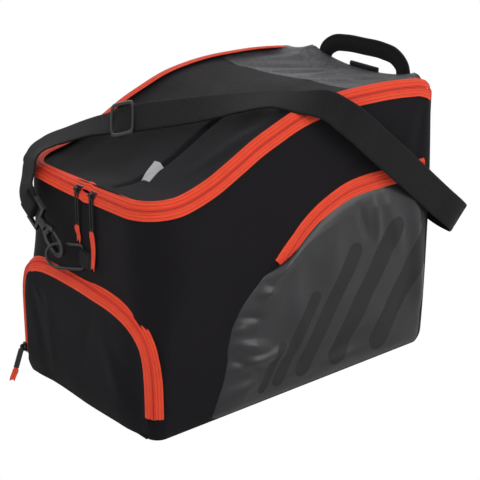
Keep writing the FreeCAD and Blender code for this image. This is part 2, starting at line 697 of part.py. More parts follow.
def leaning_pull(base):
    """The front pocket's pull and ribbon: an eye round an upright bar, and a tail that leans outwards."""
    lean = math.radians(plain(s.pocket_pull_lean))
    across = Vector(math.cos(lean), math.sin(lean), 0)
    down = Vector(math.sin(lean), -math.cos(lean), 0)
    heading = Placement(Vector(*[plain(v) for v in base]), Rotation(Vector(0, 0, 1), plain(s.pocket_pull_heading)))

    def strip(body, start, end, wall, width):
        sketch = new_sketch(body, "XZ_Plane")
        foot = Vector(plain(s.pull_eye) * 0.6, 0, 0)
        corners = [foot + down * plain(along) + across * (plain(wall) / 2 * side)
                   for along, side in ((start, -1), (end, -1), (end, 1), (start, 1))]
        outline(sketch, [(ZERO + c.x, ZERO + c.y) for c in corners])
        pad(body, sketch, width, symmetric=True)

    tail = node(new_body("pocket_pull"), "pocket_pull")
    eye = new_sketch(tail, "XY_Plane")
    circle(eye, ZERO, ZERO, s.pull_eye)
    pad(tail, eye, s.slider_length - 2.0 - s.bridge_post * 2 - s.slider_gap * 2, symmetric=True)
    strip(tail, s.pull_wall / 2, s.small_pull_length, s.pull_wall, s.pull_width)
    bore = new_sketch(tail, "XY_Plane")
    circle(bore, ZERO, ZERO, s.bridge_radius + s.bridge_radius / 2)
    pocket(tail, bore, s.slider_length, symmetric=True)
    end = node(new_body("pocket_ribbon"), "pocket_ribbon")
    strip(end, s.small_pull_length, s.small_pull_length + s.small_ribbon_length, s.ribbon_wall, s.ribbon_width)
    for piece in (tail, end):
        piece.Placement = heading


# Local axes of a slider and its pull, as turns into the bag's frame.
FACE_FRONT = Rotation(Vector(0, -1, 0), Vector(0, 0, 1), Vector(-1, 0, 0))
FACE_NEAR = Rotation(Vector(1, 0, 0), Vector(0, 0, 1), Vector(0, -1, 0))
UP_THE_FRONT = Rotation(Vector(0, 0, 1), Vector(0, 1, 0), Vector(-1, 0, 0))


def sliders():
    """The lid's two sliders, the front pocket's and the side pocket's, each with its pull and ribbon."""
    lid_face = front
    for side, place_y, tail in (
        ("left", s.left_slider_place, s.left_ribbon_length),
        ("right", s.right_slider_place, s.right_ribbon_length),
    ):
        base = (lid_face, place_y, s.front_height)
        slider(f"lid_slider_{side}", FACE_FRONT, base)
        pull(f"lid_pull_{side}", s.pull_length, FACE_FRONT, base)
        ribbon(f"lid_ribbon_{side}", tail, s.pull_length, FACE_FRONT, base)
    base = (pocket_face - s.tape_wall, s.pocket_half, s.pocket_slider_height)
    slider("pocket_slider", UP_THE_FRONT, base)
    bar = s.tape_wall + s.coil_proud + s.slider_gap + s.slider_wall + s.bridge_height
    leaning_pull((pocket_face - bar, base[1], base[2]))
    base = (rear - s.side_slider_place, near - s.tape_wall, s.side_zip_height)
    slider("side_slider", FACE_NEAR, base)
    pull("side_pull", s.small_pull_length, FACE_NEAR, base)
    ribbon("side_ribbon", s.small_ribbon_length, s.small_pull_length, FACE_NEAR, base)


# ---------------------------------------------------------------- rings and their tabs

def d_ring(label, turn, base):
    """A wire ring with one straight bar, its wire eight-sided. Local Z along the bar, +X towards the bow."""
    half = s.ring_half
    corner = s.ring_corner
    bow = s.ring_length - half
    body = node(new_body(label), label)
    path = new_sketch(body, "XY_Plane")
    outline(path, [
        (ZERO, ZERO), (ZERO, half - corner, -corner), (corner, half), (bow, half, -half), (bow + half, ZERO, -half),
        (bow, -half), (corner, -half, -corner), (ZERO, -half + corner),
    ])
    profile = new_sketch(body, "XZ_Plane")
    corners = []
    for step in range(8):
        angle = math.radians(22.5 + 45.0 * step)
        corners.append((s.ring_wire * math.cos(angle), s.ring_wire * math.sin(angle)))
    outline(profile, corners)
    pipe(body, path, profile)
    upright = Rotation(Vector(1, 0, 0), 90)
    body.Placement = Placement(Vector(*[plain(v) for v in base]), turn.multiply(upright))
    return body


def ring_tab(label, turn, base):
    """Folded webbing round a ring's bar, sewn down by its tail. Local Z along the bar, +Y off the face."""
    body = node(new_body(label), label)
    bore = s.ring_wire + s.ring_gap
    outer = bore + s.tab_wall
    fold = new_sketch(body, "XY_Plane")
    circle(fold, ZERO, ZERO, outer)
    pad(body, fold, s.tab_width, symmetric=True)
    tail = new_sketch(body, "XY_Plane")
    outline(tail, rectangle(-outer - s.tab_tail, ZERO, -outer, -outer + s.tab_wall * 2))
    pad(body, tail, s.tab_width, symmetric=True)
    hole = new_sketch(body, "XY_Plane")
    circle(hole, ZERO, ZERO, bore)
    pocket(body, hole, s.tab_width * 2, symmetric=True)
    body.Placement = Placement(Vector(*[plain(v) for v in base]), turn)
    return body


def axes(x_axis, z_axis):
    """The turn that takes local X and Z to two given directions at right angles."""
    return Rotation(x_axis, z_axis.cross(x_axis), z_axis)


tab_outer = s.ring_wire + s.ring_gap + s.tab_wall
front_lead = math.radians(plain(s.front_ring_lead))
rear_lead = math.radians(plain(s.rear_ring_lead))
FRONT_RING_TURN = axes(Vector(-math.sin(front_lead), math.cos(front_lead), 0), Vector(0, 0, 1))
REAR_RING_TURN = axes(Vector(math.sin(rear_lead), 0, -math.cos(rear_lead)), Vector(0, 1, 0))
front_ring_base = (front - tab_outer, s.front_ring_y, s.front_ring_height)
rear_ring_base = (rear + tab_outer, ZERO, s.rear_ring_height)


def rings():
    """The ring at the front face and the one at the top of the rear face."""
    d_ring("front_ring", FRONT_RING_TURN, front_ring_base)
    ring_tab("front_ring_tab", Rotation(Vector(0, 1, 0), Vector(-1, 0, 0), Vector(0, 0, 1)), front_ring_base)
    d_ring("rear_ring", REAR_RING_TURN, rear_ring_base)
    ring_tab("rear_ring_tab", Rotation(Vector(0, 0, -1), Vector(1, 0, 0), Vector(0, 1, 0)), rear_ring_base)


# ---------------------------------------------------------------- swivel snap hooks

def snap_hook(name, turn, base):
    """A swivel snap hook: bow with collar, sprung gate, and the webbing eye on its swivel pin.

    Local origin at the collar's foot, -Z towards the bow, gate on the -X side.
    """
    half = s.hook_width / 2
    hole = half - s.hook_wire
    reach = s.hook_reach
    slot_top = -reach + s.hook_slot
    outer = s.collar_radius

    bow = node(new_body(f"{name}_hook"), f"{name}_hook")
    sketch = new_sketch(bow, "XZ_Plane")
    outline(sketch, [
        (-outer, ZERO), (-half, -s.hook_shoulder), (-half, -reach, half), (ZERO, -reach - half, half),
        (half, -reach), (half, -s.hook_shoulder), (outer, ZERO),
    ])
    pad(bow, sketch, s.hook_plate, symmetric=True)
    opening = new_sketch(bow, "XZ_Plane")
    outline(opening, [
        (-hole, slot_top), (-hole, -reach, hole), (ZERO, -reach - hole, hole),
        (hole, -reach), (hole, slot_top, hole), (ZERO, slot_top + hole, hole),
    ])
    pocket(bow, opening, s.hook_plate * 2, symmetric=True)
    collar = new_sketch(bow, "XY_Plane", -s.hook_plate)
    circle(collar, ZERO, ZERO, outer)
    pad(bow, collar, s.collar_height + s.hook_plate)
    bore = new_sketch(bow, "XY_Plane", slot_top)
    circle(bore, ZERO, ZERO, s.pin_radius + s.pin_gap)
    pocket(bow, bore, backwards=True)
    pivot = -s.gate_pivot
    tip = pivot - s.gate_length
    gap_foot = pivot - s.gate_bar / 2
    mouth = new_sketch(bow, "XZ_Plane")
    outline(mouth, rectangle(-half - 1.0, -hole + 1.0, tip - s.gate_gap, gap_foot))
    pocket(bow, mouth, s.hook_plate * 2, symmetric=True)
    tongue_slot = new_sketch(bow, "XZ_Plane")
    tongue = s.hook_plate - s.ear_wall * 2
    outline(tongue_slot, rectangle(-half - 1.0, -hole + 1.0, gap_foot - 1.0, pivot + s.gate_bar / 2 + s.gate_gap))
    pocket(bow, tongue_slot, tongue, symmetric=True)
    pin_x = -half + s.gate_bar / 2 + s.gate_gap / 2
    pin = new_sketch(bow, "XZ_Plane")
    circle(pin, pin_x, pivot, s.gate_pin)
    pad(bow, pin, s.hook_plate, symmetric=True)

    gate = node(new_body(f"{name}_gate"), f"{name}_gate")
    bar = s.gate_bar / 2
    thin = new_sketch(gate, "XZ_Plane")
    outline(thin, [
        (pin_x - bar, pivot - s.gate_shoulder - 1.0), (pin_x + bar, pivot - s.gate_shoulder - 1.0),
        (pin_x + bar, pivot, bar), (pin_x, pivot + bar, bar), (pin_x - bar, pivot),
    ])
    pad(gate, thin, tongue - s.gate_gap * 2, symmetric=True)
    full = new_sketch(gate, "XZ_Plane")
    outline(full, rectangle(pin_x - bar, pin_x + bar, tip, pivot - s.gate_shoulder))
    pad(gate, full, s.hook_plate, symmetric=True)
    pin_hole = new_sketch(gate, "XZ_Plane")
    circle(pin_hole, pin_x, pivot, s.gate_pin + s.pin_gap)
    pocket(gate, pin_hole, s.hook_plate * 2, symmetric=True)

    eye = node(new_body(f"{name}_eye"), f"{name}_eye")
    foot = s.collar_height + s.gate_gap
    inner_low = foot + s.eye_wire
    inner_high = inner_low + s.eye_height
    side = s.eye_width / 2
    frame = new_sketch(eye, "XZ_Plane")
    outline(frame, rectangle(-side - s.eye_wire, side + s.eye_wire, foot, inner_high + s.eye_wire))
    pad(eye, frame, s.eye_wire, symmetric=True)
    window = new_sketch(eye, "XZ_Plane")
    outline(window, rectangle(-side, side, inner_low, inner_high))
    pocket(eye, window, s.eye_wire * 2, symmetric=True)
    stem = new_sketch(eye, "XY_Plane", -s.pin_head_drop)
    circle(stem, ZERO, ZERO, s.pin_radius)
    pad(eye, stem, s.pin_head_drop + foot + 1.0)
    head = new_sketch(eye, "XY_Plane", -s.pin_head_drop)
    circle(head, ZERO, ZERO, s.pin_head)
    pad(eye, head, s.pin_head_wall, backwards=True)

    fold = node(new_body(f"{name}_strap_fold"), f"{name}_strap_fold")
    wrap = s.eye_wire / 2 + s.fold_gap
    low = inner_high - s.fold_gap
    high = inner_high + s.eye_wire + s.fold_gap
    outside = new_sketch(fold, "YZ_Plane")
    outline(outside, rectangle(-wrap - s.strap_wall, wrap + s.strap_wall, low - s.strap_wall, high + s.fold_tail))
    pad(fold, outside, s.eye_width - 2.0, symmetric=True)
    inside = new_sketch(fold, "YZ_Plane")
    outline(inside, rectangle(-wrap, wrap, low, high))
    pocket(fold, inside, s.eye_width * 2, symmetric=True)

    for piece in (bow, gate, eye, fold):
        piece.Placement = Placement(base, turn)


front_tilt = math.radians(plain(s.front_hook_tilt))
rear_tilt = math.radians(plain(s.rear_hook_tilt))
front_hook_up = Vector(0, math.sin(front_tilt), math.cos(front_tilt))
rear_hook_up = Vector(0, -math.sin(rear_tilt), -math.cos(rear_tilt))
FRONT_HOOK_TURN = axes(Vector(0, math.cos(front_tilt), -math.sin(front_tilt)), front_hook_up)
REAR_HOOK_TURN = axes(Vector(-1, 0, 0), rear_hook_up)
front_bow = Vector(plain(front) - plain(s.front_hook_gap) - plain(s.hook_plate), plain(s.front_hook_y),
                   plain(s.front_hook_z))
front_collar = front_bow + front_hook_up * plain(s.hook_reach)
rear_bow_tip = Vector(*[plain(v) for v in rear_ring_base]) + REAR_RING_TURN.multVec(
    Vector(plain(s.ring_length), 0, 0))
rear_collar = rear_bow_tip + rear_hook_up * (plain(s.hook_reach) + plain(s.rear_hook_bite))
eye_top = plain(s.collar_height + s.gate_gap + s.eye_wire * 2 + s.eye_height + s.fold_tail)


# ---------------------------------------------------------------- shoulder strap and its adjuster

def webbing(label, start, end, normal):
    """A flat run of the shoulder strap between two points, with its face turned to a normal."""
    along = end - start
    length = along.Length
    along.normalize()
    across = normal.cross(along).normalize()
    face = along.cross(across)
    run = node(doc.addObject("Part::Box", label), label)
    bind(run, "Length", length)
    bind(run, "Width", s.strap_width)
    bind(run, "Height", s.strap_wall)
    corner = start - across * plain(s.strap_width / 2) - face * plain(s.strap_wall / 2)
    run.Placement = Placement(corner, Rotation(along, across, face))
    return run


lid_top_front = plain(s.front_height + lid_high)
strap_start = Vector(plain(front + s.strap_front_x), plain(-near - s.strap_front_y), 0)
strap_rim = Vector(plain(s.strap_rim_x), plain(near - s.strap_rim_gap), 0)
strap_plan = strap_rim - strap_start
strap_run = strap_plan.Length
strap_plan.normalize()
lead = plain(s.strap_width) / 2 * abs(strap_plan.y)
lid_slope = plain(s.slope_height - s.front_height) / plain(s.slope_end - s.slope_start)
slope_from = (plain(front + s.slope_start) - lead - strap_start.x) / strap_plan.x
slope_to = (plain(front + s.slope_end) - lead - strap_start.x) / strap_plan.x
strap_rise = lid_slope * strap_plan.x
STRAP_TURN = axes(strap_plan, Vector(0, 0, 1))


def lid_top(x):
    """Height of the lid's upper face over the crown."""
    radius = plain(s.crest_radius)
    start = Vector(plain(front + s.slope_end), plain(s.slope_height + lid_high), 0)
    end = Vector(plain(rear), plain(s.rear_height + lid_high), 0)
    chord = end - start
    middle = (start + end) / 2
    sink = math.sqrt(radius ** 2 - (chord.Length / 2) ** 2)
    centre = middle + Vector(chord.y, -chord.x, 0).normalize() * sink
    return centre.y + math.sqrt(radius ** 2 - (x - centre.x) ** 2)


def strap():
    """The shoulder strap: over the lid, down the near side, round its bend and up the rear."""
    middle = node(new_body("strap_middle"), "strap_middle")
    clear = plain(s.strap_float)
    low = lid_top_front + clear
    top_of_slope = low + strap_rise * (slope_to - slope_from)
    crown = [(run, lid_top(strap_start.x + strap_plan.x * run + lead) + clear * 2)
             for run in ((slope_to + strap_run) / 2, strap_run)]
    under = [(0.0, low), (slope_from - 2.0, low), (slope_to, top_of_slope + clear)] + crown
    wall = plain(s.strap_wall)
    over = [(run, height + wall) for run, height in reversed(under)]
    sketch = new_sketch(middle, "XZ_Plane")
    outline(sketch, [(ZERO + run, ZERO + height) for run, height in under + over])
    pad(middle, sketch, s.strap_width, symmetric=True)
    middle.Placement = Placement(strap_start, STRAP_TURN)

    outwards = Vector(-0.75, 0.66, 0)
    corner = Vector(plain(front + s.corner_front), plain(-near - s.corner_front), 0)
    stand = plain(s.corner_front) + 8.0
    top = corner + outwards * stand + Vector(0, 0, lid_top_front - 16.0)
    front_end = front_collar + front_hook_up * eye_top
    webbing("strap_front", top, front_end + Vector(-2.0, 2.0, 2.0), outwards)

    side_y = plain(near - s.strap_side_gap)
    bend = Vector(plain(rear + s.strap_bend_x), side_y, plain(s.strap_bend_z))
    rim = Vector(strap_rim.x + 12.0, side_y, crown[-1][1] - 12.0)
    webbing("strap_side", rim, bend, Vector(0, -1, 0))
    rear_end = rear_collar + rear_hook_up * (eye_top + 4.0)
    webbing("strap_back", bend + Vector(9.0, 14.0, 2.0), rear_end, Vector(1, 0, 0))


def adjuster():
    """A three-bar slide that sits on the strap over the lid's slope. Local X along the strap."""
    body = node(new_body("strap_adjuster"), "strap_adjuster")
    half_width = s.strap_width / 2 + s.adjuster_gap
    half_length = s.adjuster_length / 2
    rim = s.adjuster_rim
    low = s.strap_wall + s.adjuster_gap
    plate = new_sketch(body, "XY_Plane", low)
    outline(plate, rectangle(-half_length, half_length, -half_width - rim, half_width + rim))
    pad(body, plate, s.adjuster_wall)
    for sign in (-1, 1):
        near_edge = rim / 2 * sign
        far_edge = (half_length - rim) * sign
        slot = new_sketch(body, "XY_Plane", low)
        low_x, high_x = (near_edge, far_edge) if sign > 0 else (far_edge, near_edge)
        outline(slot, rectangle(low_x, high_x, -half_width, half_width))
        pocket(body, slot, s.adjuster_wall * 2, symmetric=True)
    fillet(body, rim * 0.6, lambda c, d: abs(d.z) > 0.99 and abs(c.x) > plain(half_length) - 0.1)
    run = plain(s.adjuster_place)
    height = lid_top_front + plain(s.strap_float) + strap_rise * (run - slope_from) + plain(s.strap_float) * (
        run - slope_from) / (slope_to - slope_from)
    along = Vector(strap_plan.x, strap_plan.y, strap_rise).normalize()
    across = Vector(-strap_plan.y, strap_plan.x, 0)
    spot = strap_start + strap_plan * run + Vector(0, 0, height)
    body.Placement = Placement(spot, Rotation(along, across, along.cross(across)))
    return along


# ---------------------------------------------------------------- grab handle

def grab_handle():
    """A padded webbing arch behind the rear edge, and the two sewn anchors under its ends."""
    handle = node(new_body("grab_handle"), "grab_handle")
    low = -s.handle_half + s.handle_shift
    high = s.handle_half + s.handle_shift
    bend = -s.handle_radius
    centre = rear + s.handle_gap + s.handle_wall / 2
    path = new_sketch(handle, "YZ_Plane", centre)
    outline(path, [
        (low, s.handle_foot), (low, s.handle_top - s.handle_radius, bend),
        (low + s.handle_radius, s.handle_top), (high - s.handle_radius, s.handle_top, bend),
        (high, s.handle_top - s.handle_radius), (high, s.handle_foot),
    ], closed=False)
    profile = new_sketch(handle, "XY_Plane", s.handle_foot)
    half = s.handle_width / 2
    outline(profile, rectangle(centre - s.handle_wall / 2, centre + s.handle_wall / 2, low - half, low + half))
    pipe(handle, path, profile)
    for side, y in (("near", low), ("far", high)):
        label = f"handle_anchor_{side}"
        anchor = box(label, (rear, y - s.anchor_width / 2, s.handle_foot - 1.5 - s.anchor_height),
                     (rear + s.handle_gap, y + s.anchor_width / 2, s.handle_foot - 1.5))
        node(anchor, label)


main_panels()
lid_panels()
lid_zip()
front_pocket()
side_pocket()
sliders()
rings()
snap_hook("front", FRONT_HOOK_TURN, front_collar)
snap_hook("rear", REAR_HOOK_TURN, rear_collar)
strap()
adjuster_direction = adjuster()
grab_handle()


# ---------------------------------------------------------------- check and export

doc.recompute()
for item in doc.Objects:
    if "Invalid" in item.State or "Error" in item.State:
        raise RuntimeError(f"{item.Name} failed: {item.State}")
for item in NODES:
    if item.Shape.isNull() or not item.Shape.isValid():
        raise RuntimeError(f"{item.Label} has no valid shape")
os.makedirs("parts", exist_ok=True)
for item in NODES:
    item.Shape.exportStep(f"parts/{item.Label}.step")
print(len(NODES), "nodes")
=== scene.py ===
import json
import math

import bpy
import numpy as np
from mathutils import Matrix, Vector


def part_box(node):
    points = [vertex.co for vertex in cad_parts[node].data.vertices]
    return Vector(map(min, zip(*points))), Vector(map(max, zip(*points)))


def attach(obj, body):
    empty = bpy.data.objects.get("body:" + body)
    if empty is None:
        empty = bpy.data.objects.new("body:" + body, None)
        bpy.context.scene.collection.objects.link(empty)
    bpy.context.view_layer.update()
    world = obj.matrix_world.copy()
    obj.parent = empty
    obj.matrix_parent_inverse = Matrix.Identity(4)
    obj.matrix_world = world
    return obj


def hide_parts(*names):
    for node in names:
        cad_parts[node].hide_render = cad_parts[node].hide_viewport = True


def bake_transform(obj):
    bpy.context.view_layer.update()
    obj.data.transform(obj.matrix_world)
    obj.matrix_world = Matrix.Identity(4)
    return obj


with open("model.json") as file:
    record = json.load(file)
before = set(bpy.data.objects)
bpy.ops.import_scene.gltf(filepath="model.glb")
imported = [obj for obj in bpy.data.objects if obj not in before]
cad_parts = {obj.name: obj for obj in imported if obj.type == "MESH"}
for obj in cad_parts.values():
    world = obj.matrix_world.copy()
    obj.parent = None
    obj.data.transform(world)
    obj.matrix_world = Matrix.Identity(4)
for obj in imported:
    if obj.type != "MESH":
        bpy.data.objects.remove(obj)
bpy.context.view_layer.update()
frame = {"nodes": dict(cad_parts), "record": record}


# ---- Main compartment
# A soft padded bag of black polyester: one cloth runs round the near side, the front and the
# far side, and a second one closes the rear. Both are sewn to the base and to the lid's zip.

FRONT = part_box("front_panel")[0].x
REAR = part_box("rear_panel")[1].x
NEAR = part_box("side_panel_near")[0].y
HALF = -NEAR
REAR_CORNER = 0.016
FRONT_CORNER = 0.042
LOW_FRONT_CORNER = 0.016
WALL = 0.0028
KNOTS = np.arange(10)


def plan(t, front_corner=FRONT_CORNER):
    """Outline seen from above. t is 0 at the rear middle, 1 to 2 round the rear near corner,
    3 to 4 the front near one, 5 to 6 the front far one and 7 to 8 the rear far one.
    Each point is its corner's centre plus the corner's radius along the heading."""
    t = np.mod(t, 9.0)
    heading = -np.pi / 2 * np.interp(t, KNOTS, [0, 0, 1, 1, 2, 2, 3, 3, 4, 4])
    forward = np.interp(t, KNOTS, [0, 0, 0, 1, 1, 1, 1, 0, 0, 0])
    side = np.interp(t, KNOTS, [0, -1, -1, -1, -1, 1, 1, 1, 1, 0])
    radius = (1 - forward) * REAR_CORNER + forward * front_corner
    centre = (1 - forward) * (REAR - REAR_CORNER) + forward * (FRONT + front_corner)
    outwards = np.stack([np.cos(heading), np.sin(heading), np.zeros_like(heading)], -1)
    x = centre + radius * outwards[..., 0]
    y = side * (HALF - radius) + radius * outwards[..., 1]
    return x, y, outwards


def smooth_step(value, low, high):
    """0 below low, 1 above high and an S-curve between them."""
    share = np.clip((value - low) / (high - low), 0, 1)
    return share * share * (3 - 2 * share)


def flowing(x, knots, values):
    """Values read off a smooth curve through knots: cubic pieces whose slopes are the central
    differences of the knots."""
    knots, values = np.asarray(knots, float), np.asarray(values, float)
    slopes = np.gradient(values, knots)
    x = np.clip(x, knots[0], knots[-1])
    k = np.clip(np.searchsorted(knots, x) - 1, 0, len(knots) - 2)
    span = knots[k + 1] - knots[k]
    s = (x - knots[k]) / span
    return ((1 + 2 * s) * (1 - s) ** 2 * values[k] + s * (1 - s) ** 2 * span * slopes[k]
            + s * s * (3 - 2 * s) * values[k + 1] + s * s * (s - 1) * span * slopes[k + 1])


def rolling(a, b, size, seed):
    """Slow unevenness of stuffed cloth, from -1 to 1: the mean of six sine waves with random
    headings and phases, whose lengths are near size."""
    draw = np.random.default_rng(seed)
    total = np.zeros(np.broadcast(a, b).shape)
    for _ in range(6):
        turn, phase = draw.uniform(0, 2 * np.pi, 2)
        length = size * draw.uniform(0.7, 1.6)
        total += np.sin(2 * np.pi * (a * np.cos(turn) + b * np.sin(turn)) / length + phase)
    return total / 6


def creases(a, b, lines):
    """Folds in the cloth: each is a bell-shaped ridge across the line from its start to its end,
    fading out beyond both. A line is start a, b, end a, b, half width and height."""
    total = np.zeros(np.broadcast(a, b).shape)
    for a0, b0, a1, b1, width, height in lines:
        run_a, run_b = a1 - a0, b1 - b0
        along = np.clip(((a - a0) * run_a + (b - b0) * run_b) / (run_a ** 2 + run_b ** 2), 0, 1)
        gap = (a - a0 - along * run_a) ** 2 + (b - b0 - along * run_b) ** 2
        total += height * np.exp(-gap / width ** 2) * np.sqrt(np.sin(np.pi * (0.04 + 0.92 * along)))
    return total


# Places along the bag and the height of the lid's zip at each.
RIM_X = [-0.203, -0.184, -0.154, -0.124, -0.092, -0.061, -0.038, -0.008, 0.030, 0.060, 0.101,
         0.137, 0.162, 0.182, 0.194, 0.203]
RIM_Z = [0.2575, 0.2590, 0.2630, 0.2720, 0.2870, 0.3025, 0.3115, 0.3220, 0.3290, 0.3315, 0.3315,
         0.3300, 0.3275, 0.3240, 0.3170, 0.3020]
REAR_TOP = 0.3315
FRONT_DIP = 0.0015
DIP_HALF = 0.078
REAR_SAG = 0.0135
SAG_HALF = 0.088


def zip_height(x, y):
    """Height of the lid's zip: the rim's profile along the bag, with a dip in the front's middle."""
    dip = FRONT_DIP * np.clip(1 - (y / DIP_HALF) ** 2, 0, 1) * (x < FRONT + 0.002)
    return flowing(x, RIM_X, RIM_Z) - dip


def rear_edge(x, y):
    """Height of the rear wall's top edge: it sags in the middle and falls to the zip's ends at
    the two corners."""
    sag = REAR_SAG * np.clip(1 - (y / SAG_HALF) ** 2, 0, 1) ** 0.8
    fall = smooth_step(np.abs(y), 0.086, 0.114)
    return (REAR_TOP - sag) * (1 - fall) + (zip_height(x, y) + 0.0070) * fall


# Metres round the bag at each knot of t, and the folds as creases() takes them: run round the bag
# and height at both ends, then half width and height of the ridge.
GIRTH = [0, 0.092, 0.136, 0.472, 0.538, 0.694, 0.760, 1.096, 1.140, 1.232]
SIDE_FOLDS = [
    (0.300, 0.045, 0.340, 0.215, 0.011, 0.0013), (0.395, 0.060, 0.420, 0.200, 0.014, -0.0012),
    (0.190, 0.290, 0.250, 0.250, 0.010, -0.0016), (0.152, 0.300, 0.176, 0.235, 0.008, 0.0014),
    (0.139, 0.305, 0.150, 0.240, 0.006, -0.0012), (0.205, 0.262, 0.330, 0.236, 0.012, -0.0014),
    (0.455, 0.235, 0.478, 0.120, 0.015, 0.0012), (0.500, 0.240, 0.505, 0.160, 0.010, -0.0010),
    (0.560, 0.235, 0.640, 0.165, 0.012, -0.0012), (0.730, 0.230, 0.745, 0.080, 0.013, 0.0013),
    (0.850, 0.060, 0.890, 0.250, 0.016, -0.0013), (0.980, 0.050, 1.020, 0.290, 0.018, 0.0015),
]
WALL_FOOT = 0.0026
FOOT_DEPTH = 0.0080
FOOT_HEIGHT = 0.0170
CORNER_OPENS = (0.105, 0.185)
BULGE_TOP = 0.29
SIDE_BULGE = 0.0034
FRONT_FLATTER = 0.0020
UNEVEN = 0.0011
CALM_UNDER_ZIP = (0.008, 0.026)


def wall(t, z, out=0.0):
    """A point of the bag's side: the plan's outline at that height, moved outwards by the foot's
    round edge, a gentle bulge, the cloth's unevenness and its folds, which calm down at the zip."""
    corner = LOW_FRONT_CORNER + (FRONT_CORNER - LOW_FRONT_CORNER) * smooth_step(z, *CORNER_OPENS)
    x, y, outwards = plan(t, corner)
    girth = np.interp(np.mod(t, 9.0), KNOTS, GIRTH)
    near_floor = np.clip(1 - z / FOOT_HEIGHT, 0, 1)
    foot = FOOT_DEPTH * (1 - np.sqrt(np.clip(1 - near_floor ** 2, 0, None)))
    middle = np.sin(np.pi * np.clip(z / BULGE_TOP, 0, 1))
    at_front = smooth_step(x, FRONT + 0.020, FRONT + 0.004)
    bulge = (SIDE_BULGE - FRONT_FLATTER * at_front) * middle
    give = UNEVEN * rolling(girth, z, 0.13, 4) * middle + creases(girth, z, SIDE_FOLDS)
    calm = smooth_step(zip_height(x, y) - z, *CALM_UNDER_ZIP)
    proud = out + (bulge + give) * calm - foot
    return np.stack([x, y, z], -1) + outwards * proud[..., None]


def piece(name, points, faces, finish, chart=None, sharp=50):
    """A finished mesh object with its place in its mesh, smooth faces and a UV map in metres."""
    mesh = bpy.data.meshes.new(name)
    mesh.from_pydata(points, [], faces)
    mesh.polygons.foreach_set("use_smooth", np.ones(len(mesh.polygons), bool))
    if chart is not None:
        corners = np.empty(len(mesh.loops), np.int32)
        mesh.loops.foreach_get("vertex_index", corners)
        mesh.uv_layers.new(name="cloth").data.foreach_set("uv", chart[corners].ravel())
    mesh.set_sharp_from_angle(angle=math.radians(sharp))
    mesh.update()
    made = bpy.data.objects.new(name, mesh)
    bpy.context.scene.collection.objects.link(made)
    made.data.materials.append(finish)
    return made


def slab(name, outer, thickness, finish, inner=None):
    """A closed sheet from a grid of points: the grid, a second grid lower by the thickness along
    the first one's normals, and a strip of faces round the edge. UV is the run along the grid."""
    lines = np.cross(np.gradient(outer, axis=0), np.gradient(outer, axis=1))
    lines /= np.linalg.norm(lines, axis=-1, keepdims=True) + 1e-12
    inner = outer - lines * thickness if inner is None else inner
    rows, columns = outer.shape[:2]
    index = np.arange(rows * columns).reshape(rows, columns)
    top = np.stack([index[:-1, :-1], index[1:, :-1], index[1:, 1:], index[:-1, 1:]], -1)
    top = top.reshape(-1, 4)
    ring = np.concatenate([index[:-1, 0], index[-1, :-1], index[:0:-1, -1], index[0, :0:-1]])
    after = np.roll(ring, -1)
    count = rows * columns
    edge = np.stack([after, ring, ring + count, after + count], -1)
    faces = np.concatenate([top, top[:, ::-1] + count, edge])
    u = np.zeros((rows, columns))
    v = np.zeros((rows, columns))
    u[1:] = np.cumsum(np.linalg.norm(np.diff(outer, axis=0), axis=-1), axis=0)
    v[:, 1:] = np.cumsum(np.linalg.norm(np.diff(outer, axis=1), axis=-1), axis=1)
    chart = np.tile(np.stack([u, v], -1).reshape(-1, 2), (2, 1))
    points = np.concatenate([outer.reshape(-1, 3), inner.reshape(-1, 3)])
    return piece(name, points, faces, finish, chart)


class Value:
    """A shader socket that adds Math nodes when it is used in a sum."""

    def __init__(self, finish, socket):
        self.finish = finish
        self.socket = socket

    def math(self, operation, *others, swapped=False):
        values = (self,) + others
        if swapped:
            values = values[::-1]
        inputs = dict(enumerate(values))
        return self.finish.node("ShaderNodeMath", {"operation": operation}, inputs)

    def __add__(self, other):
        return self.math("ADD", other)

    def __mul__(self, other):
        return self.math("MULTIPLY", other)

    def __sub__(self, other):
        return self.math("SUBTRACT", other)

    def __rsub__(self, other):
        return self.math("SUBTRACT", other, swapped=True)

    def __abs__(self):
        return self.math("ABSOLUTE")

    def __lt__(self, other):
        return self.math("LESS_THAN", other)

    def __gt__(self, other):
        return self.math("GREATER_THAN", other)

    __radd__ = __add__
    __rmul__ = __mul__

    def sine(self):
        return self.math("SINE")

    def at_most(self, other):
        return self.math("MINIMUM", other)

    def at_least(self, other):
        return self.math("MAXIMUM", other)

    def share(self):
        """Held between 0 and 1."""
        return self.at_least(0.0).at_most(1.0)


